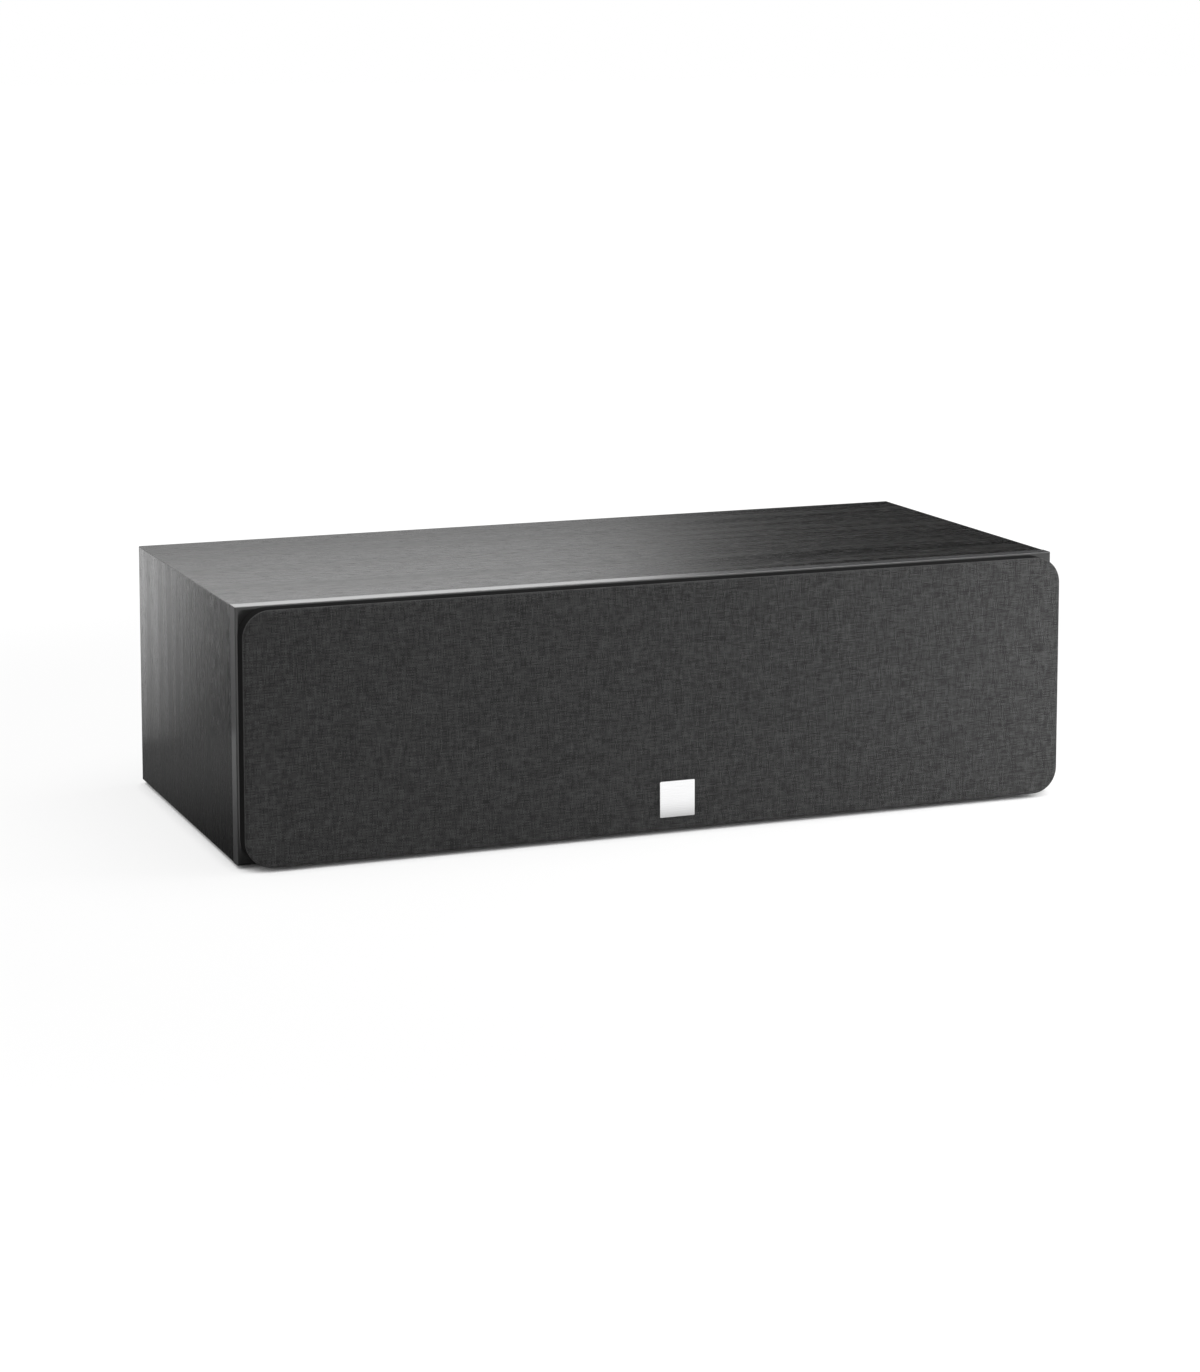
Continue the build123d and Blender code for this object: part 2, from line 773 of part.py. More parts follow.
# Depths and radii that the tweeter's pieces share
tweeter_plane = section_plane(0, baffle_face_y)
tweeter_axis = depth_axis(0)
dome_seat = tweeter_thickness
dome_face = dome_seat - dome_thickness
dome_outer = dome_radius + dome_roll_width
dome_lip_outer = dome_outer + dome_lip
dome_roll_radius = dome_roll_width / 2
dome_inner_radius = dome_radius - dome_thickness
dome_coil_outer = dome_radius - dome_coil_clearance
dome_coil_inner = dome_coil_outer - former_thickness
dome_winding_radius = dome_coil_outer + winding_thickness
dome_coil_front = dome_seat + dome_coil_clearance
dome_winding_front = dome_seat + (tweeter_plate_thickness - dome_winding_length) / 2
tweeter_magnet_front = dome_seat + tweeter_plate_thickness
tweeter_yoke_front = tweeter_magnet_front + tweeter_magnet_thickness
tweeter_back = tweeter_yoke_front + tweeter_yoke_thickness

# Tweeter faceplate: a flush disc that flares towards the dome and clamps the dome's lip
with BuildPart() as tweeter_faceplate:
    with BuildSketch(tweeter_plane):
        with BuildLine():
            Polyline(
                (horn_throat_radius, horn_throat_depth),
                (horn_throat_radius, dome_face),
                (dome_lip_outer + flange_fit, dome_face),
                (dome_lip_outer + flange_fit, tweeter_thickness),
                (tweeter_radius, tweeter_thickness),
                (tweeter_radius, 0),
                (horn_mouth_radius, 0),
            )
            TangentArc((horn_mouth_radius, 0), (horn_throat_radius, horn_throat_depth), tangent=(-1, 0))
        make_face()
    revolve(axis=tweeter_axis)
    cut_screw_holes(front_plane(baffle_face_y), tweeter_screw_places, tweeter_thickness)
write(tweeter_faceplate, "tweeter_faceplate")

# Tweeter dome: one pressed piece of soft cloth, with a dome, a small roll and a clamped lip
with BuildPart() as tweeter_dome:
    with BuildSketch(tweeter_plane):
        with BuildLine():
            dome_half = cap_depth(dome_radius / 2, dome_radius, dome_height, dome_face)
            dome_inner_half = cap_depth(dome_inner_radius / 2, dome_inner_radius, dome_height, dome_seat)
            ThreePointArc(
                (0, dome_face - dome_height),
                (dome_radius / 2, dome_half),
                (dome_radius, dome_face),
            )
            ThreePointArc(
                (dome_radius, dome_face),
                (dome_radius + dome_roll_radius, dome_face - dome_roll_radius),
                (dome_outer, dome_face),
            )
            Polyline(
                (dome_outer, dome_face),
                (dome_lip_outer, dome_face),
                (dome_lip_outer, dome_seat),
                (dome_outer - dome_thickness, dome_seat),
            )
            ThreePointArc(
                (dome_outer - dome_thickness, dome_seat),
                (dome_radius + dome_roll_radius, dome_seat - dome_roll_radius + dome_thickness),
                (dome_radius + dome_thickness, dome_seat),
            )
            Line((dome_radius + dome_thickness, dome_seat), (dome_inner_radius, dome_seat))
            ThreePointArc(
                (dome_inner_radius, dome_seat),
                (dome_inner_radius / 2, dome_inner_half),
                (0, dome_seat - dome_height),
            )
            Line((0, dome_seat - dome_height), (0, dome_face - dome_height))
        make_face()
    revolve(axis=tweeter_axis)
write(tweeter_dome, "tweeter_dome")

with BuildPart() as tweeter_voice_coil:
    with BuildSketch(tweeter_plane):
        with BuildLine():
            Polyline(
                (dome_coil_inner, dome_coil_front),
                (dome_coil_outer, dome_coil_front),
                (dome_coil_outer, dome_winding_front),
                (dome_winding_radius, dome_winding_front),
                (dome_winding_radius, dome_winding_front + dome_winding_length),
                (dome_coil_outer, dome_winding_front + dome_winding_length),
                (dome_coil_outer, dome_coil_front + dome_coil_length),
                (dome_coil_inner, dome_coil_front + dome_coil_length),
                close=True,
            )
        make_face()
    revolve(axis=tweeter_axis)
write(tweeter_voice_coil, "tweeter_voice_coil")

with BuildPart() as tweeter_top_plate:
    with BuildSketch(front_plane(baffle_face_y + tweeter_magnet_front)):
        with Locations((0, mid_z)):
            Circle(tweeter_plate_radius)
            Circle(dome_winding_radius + dome_plate_gap, mode=Mode.SUBTRACT)
    extrude(amount=tweeter_plate_thickness)
write(tweeter_top_plate, "tweeter_top_plate")

with BuildPart() as tweeter_magnet:
    with BuildSketch(front_plane(baffle_face_y + tweeter_yoke_front)):
        with Locations((0, mid_z)):
            Circle(tweeter_magnet_radius)
            Circle(tweeter_magnet_bore, mode=Mode.SUBTRACT)
    extrude(amount=tweeter_magnet_thickness)
    chamfer(tweeter_magnet.edges().filter_by(GeomType.CIRCLE).group_by(SortBy.RADIUS)[-1], steel_chamfer)
write(tweeter_magnet, "tweeter_magnet")

with BuildPart() as tweeter_yoke:
    with BuildSketch(tweeter_plane):
        with BuildLine():
            Polyline(
                (0, dome_seat),
                (dome_coil_inner - dome_pole_gap, dome_seat),
                (dome_coil_inner - dome_pole_gap, tweeter_yoke_front),
                (tweeter_plate_radius, tweeter_yoke_front),
                (tweeter_plate_radius, tweeter_back - steel_chamfer),
                (tweeter_plate_radius - steel_chamfer, tweeter_back),
                (0, tweeter_back),
                close=True,
            )
        make_face()
    revolve(axis=tweeter_axis)
write(tweeter_yoke, "tweeter_yoke")

with BuildPart() as tweeter_screws:
    add_screws(front_plane(baffle_face_y), tweeter_screw_places)
write(tweeter_screws, "tweeter_screws")

# Reflex ports: tubes with a flared mouth and a flange on the rear panel's face
port_mouth_radius = port_bore_radius + port_flare
port_outer = port_bore_radius + port_wall
port_flange_radius = port_mouth_radius + port_flange_width
port_face_y = rear_face_y + port_flange_thickness
flare_side = port_flare * (1 - sqrt(0.5))
for side, x in port_places.items():
    with BuildPart() as port:
        with BuildSketch(Plane(origin=(x, port_face_y, mid_z), x_dir=(1, 0, 0), z_dir=(0, 0, -1))):
            with BuildLine():
                ThreePointArc(
                    (port_mouth_radius, 0),
                    (port_bore_radius + flare_side, flare_side),
                    (port_bore_radius, port_flare),
                )
                Polyline(
                    (port_bore_radius, port_flare),
                    (port_bore_radius, port_length),
                    (port_outer, port_length),
                    (port_outer, port_flange_thickness + port_collar_length),
                    (port_hole_radius, port_flange_thickness + port_collar_length),
                    (port_hole_radius, port_flange_thickness),
                    (port_flange_radius, port_flange_thickness),
                    (port_flange_radius, 0),
                    (port_mouth_radius, 0),
                )
            make_face()
        revolve(axis=depth_axis(x))
    write(port, f"port_{side}")

# Terminal cup: a flange on the rear panel around a deep pocket for the binding posts
cup_face_y = rear_face_y + cup_flange
cup_floor_y = cup_face_y - cup_pocket_depth
cup_back_y = cup_floor_y - cup_wall
with BuildPart() as terminal_cup:
    with BuildSketch(front_plane(cup_face_y)):
        with Locations((0, mid_z)):
            RectangleRounded(cup_width, cup_height, cup_corner_radius)
    extrude(amount=cup_flange)
    fillet(terminal_cup.faces().sort_by(Axis.Y)[-1].edges(), cup_edge_radius)
    with BuildSketch(front_plane(rear_face_y)):
        with Locations((0, mid_z)):
            RectangleRounded(cup_body_width, cup_body_height, cup_body_radius)
    extrude(amount=rear_face_y - cup_back_y)
    with BuildSketch(front_plane(cup_face_y)):
        with Locations((0, mid_z)):
            RectangleRounded(cup_pocket_width, cup_pocket_height, cup_pocket_radius)
    extrude(amount=cup_pocket_depth, mode=Mode.SUBTRACT)
    with BuildSketch(front_plane(cup_face_y)):
        with Locations([(x, mid_z) for x in post_places.values()]):
            Circle(post_radius + post_hole_fit)
    extrude(amount=cup_pocket_depth + cup_wall, mode=Mode.SUBTRACT)
    cut_screw_holes(rear_plane(cup_face_y), cup_screw_places, cup_flange)
write(terminal_cup, "terminal_cup")

with BuildPart() as terminal_screws:
    add_screws(rear_plane(cup_face_y), cup_screw_places)
write(terminal_screws, "terminal_screws")

# Binding posts: a socketed stud through the cup's floor, a clamp washer and a fluted thumb nut
post_tip_y = cup_face_y - post_tip
collar_y = cup_floor_y + post_collar
washer_back_y = collar_y + clamp_gap
nut_back_y = washer_back_y + clamp_washer_thickness + clamp_gap
for colour, x in post_places.items():
    with BuildPart() as post:
        with BuildSketch(front_plane(post_tip_y)):
            with Locations((x, mid_z)):
                Circle(post_radius)
        extrude(amount=post_tip_y - cup_back_y + post_tail)
        with BuildSketch(front_plane(collar_y)):
            with Locations((x, mid_z)):
                Circle(post_collar_radius)
        extrude(amount=post_collar)
        with BuildSketch(front_plane(post_tip_y)):
            with Locations((x, mid_z)):
                Circle(banana_radius)
        extrude(amount=banana_length, mode=Mode.SUBTRACT)
    write(post, f"terminal_post_{colour}")

    with BuildPart() as washer:
        with BuildSketch(front_plane(washer_back_y + clamp_washer_thickness)):
            with Locations((x, mid_z)):
                Circle(clamp_washer_radius)
                Circle(post_radius + thread_clearance, mode=Mode.SUBTRACT)
        extrude(amount=clamp_washer_thickness)
    write(washer, f"terminal_washer_{colour}")

    with BuildPart() as thumb_nut:
        with BuildSketch(front_plane(nut_back_y + nut_length)):
            with Locations((x, mid_z)):
                Circle(nut_radius)
        extrude(amount=nut_length)
        chamfer(thumb_nut.edges().filter_by(GeomType.CIRCLE), nut_chamfer)
        with BuildSketch(front_plane(nut_back_y + nut_length)):
            with Locations((x, mid_z)):
                Circle(post_radius + thread_clearance)
                with PolarLocations(nut_radius, nut_flute_count):
                    Circle(nut_flute_radius)
        extrude(amount=nut_length, mode=Mode.SUBTRACT)
    write(thumb_nut, f"terminal_nut_{colour}")

with BuildPart() as terminal_lock_nuts:
    with BuildSketch(front_plane(cup_back_y)):
        with Locations([(x, mid_z) for x in post_places.values()]):
            RegularPolygon(lock_nut_flats / 2, hex_sides, major_radius=False)
            Circle(post_radius + post_hole_fit, mode=Mode.SUBTRACT)
    extrude(amount=lock_nut_thickness)
write(terminal_lock_nuts, "terminal_lock_nuts")

# Crossover board on four nylon spacers that stand on the bottom panel, as deep as the two rows on it
resistor_row_depth = resistor_side + resistor_pitch * (resistor_count - 1)
coil_row_depth = 2 * max(low_coil_radius, high_coil_radius)
board_depth = resistor_edge_gap + resistor_row_depth + board_row_gap + coil_row_depth + coil_edge_gap
board_y = rear_y - board_setback - board_depth / 2
board_front_y = board_y - board_depth / 2
board_rear_y = board_y + board_depth / 2
board_z = floor_z + spacer_height
board_top = board_z + board_thickness
spacer_spread = (board_width - 2 * spacer_inset, board_depth - 2 * spacer_inset)
with BuildPart() as crossover_board:
    with BuildSketch(Plane.XY.offset(board_z)):
        with Locations((0, board_y)):
            RectangleRounded(board_width, board_depth, board_corner_radius)
            with GridLocations(*spacer_spread, 2, 2):
                Circle(spacer_pin_radius + screw_fit, mode=Mode.SUBTRACT)
    extrude(amount=board_thickness)
write(crossover_board, "crossover_board")

with BuildPart() as crossover_spacers:
    with BuildSketch(Plane.XY.offset(floor_z)):
        with Locations((0, board_y)):
            with GridLocations(*spacer_spread, 2, 2):
                Circle(spacer_radius)
    extrude(amount=spacer_height)
    with BuildSketch(Plane.XY.offset(floor_z)):
        with Locations((0, board_y)):
            with GridLocations(*spacer_spread, 2, 2):
                Circle(spacer_pin_radius)
    extrude(amount=spacer_height + board_thickness)
    with BuildSketch(Plane.XY.offset(board_top)):
        with Locations((0, board_y)):
            with GridLocations(*spacer_spread, 2, 2):
                Circle(spacer_cap_radius)
    extrude(amount=spacer_cap_height, taper=spacer_cap_angle)
write(crossover_spacers, "crossover_spacers")

# Filter coils: wound bobbins near the board's rear edge, each with a groove of wire between two cheeks
coil_y = board_rear_y - coil_edge_gap - coil_row_depth / 2
coil_reach = board_width / 2 - coil_end_gap
filter_coils = {
    "low": (low_coil_radius - coil_reach, low_coil_radius, low_coil_height),
    "high": (coil_reach - high_coil_radius, high_coil_radius, high_coil_height),
}
for band, (x, radius, height) in filter_coils.items():
    place = (x, coil_y, board_top)
    with BuildPart() as filter_coil:
        with BuildSketch(Plane(origin=place, x_dir=(1, 0, 0), z_dir=(0, -1, 0))):
            with BuildLine():
                Polyline(
                    (radius * coil_bore_share, 0),
                    (radius, 0),
                    (radius, coil_cheek),
                    (radius - coil_groove, coil_cheek),
                    (radius - coil_groove, height - coil_cheek),
                    (radius, height - coil_cheek),
                    (radius, height),
                    (radius * coil_bore_share, height),
                    close=True,
                )
            make_face()
        revolve(axis=Axis(place, (0, 0, 1)))
    write(filter_coil, f"crossover_{band}_coil")

# Capacitors and resistors: rows along the board's front edge, behind the tweeter's lead
capacitor_row = capacitor_radius + capacitor_pitch * (capacitor_count - 1) / 2
capacitor_y = board_front_y + lead_inset + lead_radius + capacitor_gap + capacitor_row
capacitor_plane = Plane(
    origin=(capacitor_x - capacitor_length / 2, capacitor_y, board_top + capacitor_radius),
    x_dir=(0, 1, 0),
    z_dir=(1, 0, 0),
)
with BuildPart() as crossover_capacitors:
    with BuildSketch(capacitor_plane):
        with GridLocations(capacitor_pitch, 0, capacitor_count, 1):
            Circle(capacitor_radius)
    extrude(amount=capacitor_length)
    fillet(crossover_capacitors.edges().filter_by(GeomType.CIRCLE), capacitor_edge)
write(crossover_capacitors, "crossover_capacitors")

resistor_x = resistor_end_gap + (resistor_length - board_width) / 2
resistor_y = board_front_y + resistor_edge_gap + resistor_row_depth / 2
with BuildPart() as crossover_resistors:
    with BuildSketch(Plane.XY.offset(board_top)):
        with Locations((resistor_x, resistor_y)):
            with GridLocations(0, resistor_pitch, 1, resistor_count):
                Rectangle(resistor_length, resistor_side)
    extrude(amount=resistor_side)
    fillet(crossover_resistors.edges().filter_by(Axis.Z), resistor_edge)
write(crossover_resistors, "crossover_resistors")

# Wadding: a soft pad on the rear wall behind each woofer
wadding_inner = port_spacing / 2 + port_hole_radius + wadding_clearance
wadding_width = inner_width / 2 - wadding_inner - panel_fit
for side, sign in {"left": -1, "right": 1}.items():
    with BuildPart() as wadding:
        with BuildSketch(front_plane(rear_inner_y)):
            with Locations((sign * (wadding_inner + wadding_width / 2), mid_z)):
                RectangleRounded(wadding_width, inner_height - 2 * wadding_clearance, wadding_corner_radius)
        extrude(amount=wadding_depth)
        fillet(wadding.faces().sort_by(Axis.Y)[0].edges(), wadding_edge_radius)
    write(wadding, f"wadding_{side}")

# Leads: from the posts to the board, and from the board to each driver
lead_end_z = board_top + lead_seat
input_y = board_rear_y - lead_inset
input_routes = [
    [
        (x, cup_back_y - post_tail - lead_seat, mid_z),
        (x, input_y, mid_z),
        (x, input_y, lead_end_z),
    ]
    for x in post_places.values()
]
woofer_tag_y = baffle_face_y + (basket_shelf_depth + basket_floor + basket_depth) / 2
woofer_routes = [
    [
        (sign * (board_width / 2 - lead_inset), board_y, lead_end_z),
        (sign * (board_width / 2 - lead_inset), board_y, board_top + lead_rise),
        (sign * woofer_x, board_front_y, floor_z + lead_floor_gap),
        (sign * woofer_x, woofer_tag_y, floor_z + lead_floor_gap),
        (sign * woofer_x, woofer_tag_y, mid_z - basket_cup_radius - lead_seat),
    ]
    for sign in (-1, 1)
]
tweeter_tag_y = baffle_face_y + tweeter_back + lead_seat
tweeter_tag_z = mid_z - tweeter_tag_drop
tweeter_routes = [
    [
        (0, board_front_y + lead_inset, lead_end_z),
        (0, board_front_y + lead_inset, board_top + lead_rise),
        (0, tweeter_tag_y + tweeter_lead_reach, tweeter_tag_z),
        (0, tweeter_tag_y, tweeter_tag_z),
    ]
]
for name, routes in {
    "input_leads": input_routes,
    "woofer_leads": woofer_routes,
    "tweeter_lead": tweeter_routes,
}.items():
    with BuildPart() as leads:
        for route in routes:
            with BuildLine() as path:
                FilletPolyline(*route, radius=bend_radii(route))
            with BuildSketch(Plane(origin=path.line @ 0, z_dir=path.line % 0)):
                Circle(lead_radius)
            sweep(path=path.line)
    write(leads, name)
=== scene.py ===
"""Finishes, woven and soft pieces, stage and camera of a centre channel loudspeaker."""

import math

import bmesh
import bpy
import numpy as np
from bpy.props import FloatProperty, FloatVectorProperty, IntProperty, PointerProperty
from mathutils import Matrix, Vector


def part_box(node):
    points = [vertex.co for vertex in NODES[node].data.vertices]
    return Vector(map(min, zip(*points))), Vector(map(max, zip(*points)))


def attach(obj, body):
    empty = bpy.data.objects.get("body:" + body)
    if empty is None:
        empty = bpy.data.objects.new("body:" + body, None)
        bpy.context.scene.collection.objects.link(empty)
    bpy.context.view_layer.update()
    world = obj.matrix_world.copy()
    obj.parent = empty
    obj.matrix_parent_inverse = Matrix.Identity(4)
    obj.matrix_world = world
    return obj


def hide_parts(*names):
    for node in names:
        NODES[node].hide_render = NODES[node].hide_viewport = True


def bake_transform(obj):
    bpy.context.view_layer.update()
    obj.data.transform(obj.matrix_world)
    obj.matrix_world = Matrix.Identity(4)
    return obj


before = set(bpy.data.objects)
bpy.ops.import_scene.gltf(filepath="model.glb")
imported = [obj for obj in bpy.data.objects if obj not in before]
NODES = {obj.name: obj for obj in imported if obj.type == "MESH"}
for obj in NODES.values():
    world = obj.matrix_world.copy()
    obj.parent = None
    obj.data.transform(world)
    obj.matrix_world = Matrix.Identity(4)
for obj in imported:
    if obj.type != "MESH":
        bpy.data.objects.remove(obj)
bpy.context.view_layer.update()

bl_info = {
    "name": "Centre Channel Speaker",
    "version": (1, 0, 0),
    "blender": (4, 5, 0),
    "location": "View3D > Sidebar > Speaker",
    "description": "Finishes and soft pieces of a centre channel loudspeaker",
    "category": "Add Mesh",
}

SIDES = ("left", "right")

# Foil: how far its printed grain wanders, and the height of its embossed grain, in metres.
GRAIN_SWAY = 0.008
GRAIN_HEIGHT = 0.00006

# How far behind the baffle's face the lip's grey starts, and where it is full, in metres. In front
# of that the face is black, painted shade.
LIP_START = 0.0006
LIP_FULL = 0.0014

# Sprayed paint: lumps of orange peel to a metre, their height, and the roughness of a clear coat.
PEEL_COUNT = 900.0
PEEL_HEIGHT = 0.000006
COAT_ROUGHNESS = 0.15

# Bare metal: tool marks to a metre along X, Y and Z, and their height.
BRUSHED_MARKS = (90.0, 2000.0, 4000.0)
TURNED_MARKS = (300.0, 2000.0, 300.0)
PLATED_MARKS = (400.0, 2500.0, 400.0)
SCREW_MARKS = (900.0,) * 3
MARK_HEIGHT = 0.000006

# Step in the noise from thread to thread, so that neighbours share no streaks.
THREADS_APART = 7.3

# Colours of pieces that are out of sight or small.
RUBBER_BLACK = (0.02,) * 3
COATED_BLACK = (0.018,) * 3
PORT_BLACK = (0.015,) * 3
CUP_BLACK = (0.016,) * 3
OXIDE_BLACK = (0.03,) * 3
FERRITE_GREY = (0.05, 0.05, 0.052)
PLATE_ZINC = (0.5, 0.5, 0.51)
YOKE_ZINC = (0.47, 0.47, 0.48)
TWEETER_ZINC = (0.48, 0.48, 0.49)
COIL_COPPER = (0.62, 0.30, 0.14)
CONE_FIBRES = (0.25, 0.14, 0.08)
CAP_FIBRES = (0.2, 0.11, 0.06)
NYLON_WHITE = (0.75, 0.74, 0.68)
FILM_AMBER = (0.30, 0.16, 0.03)
CAST_GREY = (0.72, 0.70, 0.66)
SLEEVE_RED = (0.30, 0.02, 0.02)

# Where the cards stand that only reflections see, behind the object.
CARD_Y = 0.26


class Value:
    """A number in a node tree. Arithmetic on it adds Math nodes to the tree."""

    def __init__(self, nodes, socket):
        self.nodes = nodes
        self.socket = socket

    def math(self, operation, *terms):
        node = self.nodes.add("ShaderNodeMath", {"operation": operation}, dict(enumerate(terms)))
        return Value(self.nodes, node.outputs[0])

    def __add__(self, other):
        return self.math("ADD", self, other)

    __radd__ = __add__

    def __sub__(self, other):
        return self.math("SUBTRACT", self, other)

    def __rsub__(self, other):
        return self.math("SUBTRACT", other, self)

    def __mul__(self, other):
        return self.math("MULTIPLY", self, other)

    __rmul__ = __mul__

    def __truediv__(self, other):
        return self.math("DIVIDE", self, other)

    def __rtruediv__(self, other):
        return self.math("DIVIDE", other, self)

    def floor(self):
        return self.math("FLOOR", self)

    def cosine(self):
        return self.math("COSINE", self)

    def size(self):
        return self.math("ABSOLUTE", self)

    def root(self):
        return self.math("SQRT", self)

    def most(self, other):
        return self.math("MAXIMUM", self, other)

    def above(self, limit):
        return self.math("GREATER_THAN", self, limit)

    def ramp(self, low, high, start=0.0, end=1.0):
        """Go smoothly from start to end while this goes from low to high."""
        sockets = {"Value": self, "From Min": low, "From Max": high, "To Min": start, "To Max": end}
        node = self.nodes.add("ShaderNodeMapRange", {"interpolation_type": "SMOOTHSTEP"}, sockets)
        return Value(self.nodes, node.outputs["Result"])


class Nodes:
    """A node tree that is built from nothing."""

    def __init__(self, tree):
        self.tree = tree
        tree.nodes.clear()

    def add(self, kind, settings=None, sockets=None):
        """Add a node: its settings come first, then its sockets are set or linked."""
        node = self.tree.nodes.new(kind)
        for name, setting in (settings or {}).items():
            setattr(node, name, setting)
        for name, given in (sockets or {}).items():
            given = given.socket if isinstance(given, Value) else given
            if isinstance(given, bpy.types.NodeSocket):
                self.tree.links.new(given, node.inputs[name])
            else:
                node.inputs[name].default_value = given
        return node

    def split(self, vector):
        """The three numbers of a vector."""
        node = self.add("ShaderNodeSeparateXYZ", None, {0: vector})
        return [Value(self, output) for output in node.outputs]

    def place(self):
        """Where a point is on the object, in metres."""
        return self.split(self.add("ShaderNodeTexCoord").outputs["Object"])

    def vector(self, x, y, z):
        """A vector of three numbers."""
        return self.add("ShaderNodeCombineXYZ", None, {0: x, 1: y, 2: z}).outputs[0]

    def grey(self, level):
        """A grey of this level."""
        return self.vector(level, level, level)

    def rays(self):
        """Whether a point is seen directly, and whether it is seen by mirror or through glass."""
        path = self.add("ShaderNodeLightPath").outputs
        glossy = Value(self, path["Is Glossy Ray"])
        through = Value(self, path["Is Transmission Ray"])
        return Value(self, path["Is Camera Ray"]), glossy.most(through)

    def noise(self, x, y, z, detail=2.0):
        """Smooth noise from 0 to 1 whose lumps are about one unit across.

        A place in metres times a count therefore gives that many lumps to a metre.
        """
        sockets = {"Vector": self.vector(x, y, z), "Scale": 1.0, "Detail": detail}
        return Value(self, self.add("ShaderNodeTexNoise", None, sockets).outputs[0])

    def lumps(self, count, detail=2.0):
        """Noise with this many lumps to a metre, alike in all directions."""
        x, y, z = self.place()
        return self.noise(x * count, y * count, z * count, detail)

    def mix(self, share, first, second):
        """A colour between two colours."""
        sockets = {0: share, 6: first, 7: second}
        return self.add("ShaderNodeMix", {"data_type": "RGBA"}, sockets).outputs[2]

    def bump(self, height, distance):
        """Normal of a surface that rises by a height from 0 to 1 times a distance in metres."""
        sockets = {"Height": height, "Distance": distance, "Strength": 1.0}
        return self.add("ShaderNodeBump", None, sockets).outputs["Normal"]

    def surface(self, **sockets):
        """Finish with a Principled BSDF; socket names are given with underscores for spaces."""
        named = {name.replace("_", " "): given for name, given in sockets.items()}
        shader = self.add("ShaderNodeBsdfPrincipled", None, named)
        self.add("ShaderNodeOutputMaterial", None, {"Surface": shader.outputs[0]})

    def layered(self, share, below, above):
        """Finish with a share of one shader laid over another."""
        sockets = {0: share, 1: below.outputs[0], 2: above.outputs[0]}
        shader = self.add("ShaderNodeMixShader", None, sockets)
        self.add("ShaderNodeOutputMaterial", None, {"Surface": shader.outputs[0]})


def new_material(name):
    """Return an empty material and the builder of its nodes."""
    material = bpy.data.materials.new(name)
    material.use_nodes = True
    return material, Nodes(material.node_tree)


def tint(colour, factor=1.0):
    """A colour made lighter or darker, with an alpha of one."""
    return (*(channel * factor for channel in colour), 1.0)


def ash_vinyl(name, look, upright):
    """Foil printed and embossed like ash: streaks along the grain, and short pores between them."""
    material, nodes = new_material(name)
    x, y, z = nodes.place()
    run, across = (z, y) if upright else (x, y)
    across = across + GRAIN_SWAY * nodes.noise(run * 3.0, across * 9.0, 0.0)
    streak = nodes.noise(run / look.grain_length, across / look.grain_width, 0.3, 3.0)
    band = nodes.noise(run * 2.0, across * 60.0, 4.0, 3.0)
    pore = nodes.noise(run * 80.0, across * 2200.0, 8.0).ramp(0.56, 0.70)
    tone = (0.65 * streak + 0.35 * band).ramp(0.3, 0.7)
    nodes.surface(
        Base_Color=nodes.mix(tone, tint(look.vinyl_colour, 0.6), tint(look.vinyl_colour, 1.4)),
        Roughness=look.vinyl_roughness - 0.16 + 0.14 * streak + 0.18 * band + 0.08 * pore,
        Normal=nodes.bump(0.5 * streak - pore, GRAIN_HEIGHT),
    )
    return material


def satin_paint(name, colour, roughness, coat=0.0):
    """Sprayed paint: a fine orange peel, and a gloss that varies a little."""
    material, nodes = new_material(name)
    cloud = nodes.lumps(25.0)
    nodes.surface(
        Base_Color=nodes.mix(cloud, tint(colour, 0.85), tint(colour, 1.15)),
        Roughness=roughness - 0.04 + 0.08 * cloud,
        Coat_Weight=coat,
        Coat_Roughness=COAT_ROUGHNESS,
        Normal=nodes.bump(nodes.lumps(PEEL_COUNT), PEEL_HEIGHT),
    )
    return material


def lip_paint_shaded_front(name, look, face):
    """Satin grey paint on the baffle's lip, and black on its front as painted shade: the shade on
    the front around the grille.
    """
    material, nodes = new_material(name)
    x, y, z = nodes.place()
    # Where this is nothing, on the front, the black stands for painted shade.
    lip = y.ramp(face + LIP_START, face + LIP_FULL)
    smoother = look.front_roughness - look.paint_roughness
    cloud = nodes.lumps(25.0)
    grey = nodes.mix(cloud, tint(look.paint_colour, 0.9), tint(look.paint_colour, 1.1))
    nodes.surface(
        Base_Color=nodes.mix(lip, tint(look.front_shade_colour), grey),
        Roughness=look.front_roughness - smoother * lip + 0.08 * cloud,
        Coat_Weight=1.0,
        Coat_Roughness=COAT_ROUGHNESS,
        Normal=nodes.bump(nodes.lumps(PEEL_COUNT), PEEL_HEIGHT),
    )
    return material


def moulded(name, colour, roughness, grain=1500.0, depth=0.00002, shine=0.4):
    """Moulded plastic or rubber with an etched grain: so many lumps to a metre, of that depth."""
    material, nodes = new_material(name)
    etched, cloud = nodes.lumps(grain), nodes.lumps(30.0)
    nodes.surface(
        Base_Color=nodes.mix(cloud, tint(colour, 0.88), tint(colour, 1.12)),
        Roughness=roughness - 0.06 + 0.12 * etched,
        Specular_IOR_Level=shine,
        Normal=nodes.bump(etched, depth),
    )
    return material


def machined(name, colour, roughness, marks, metallic=1.0):
    """Bare metal with fine tool marks: so many to a metre along each axis."""
    material, nodes = new_material(name)
    x, y, z = nodes.place()
    scored = nodes.noise(x * marks[0], y * marks[1], z * marks[2], 3.0)
    cloud = nodes.lumps(60.0)
    nodes.surface(
        Base_Color=nodes.mix(scored, tint(colour, 0.86), tint(colour, 1.06)),
        Metallic=metallic,
        Roughness=roughness - 0.08 + 0.1 * scored + 0.06 * cloud,
        Normal=nodes.bump(scored, MARK_HEIGHT),
    )
    return material


def oxide_screws(name):
    """Blackened steel of screw heads."""
    return machined(name, OXIDE_BLACK, roughness=0.45, marks=SCREW_MARKS, metallic=0.6)


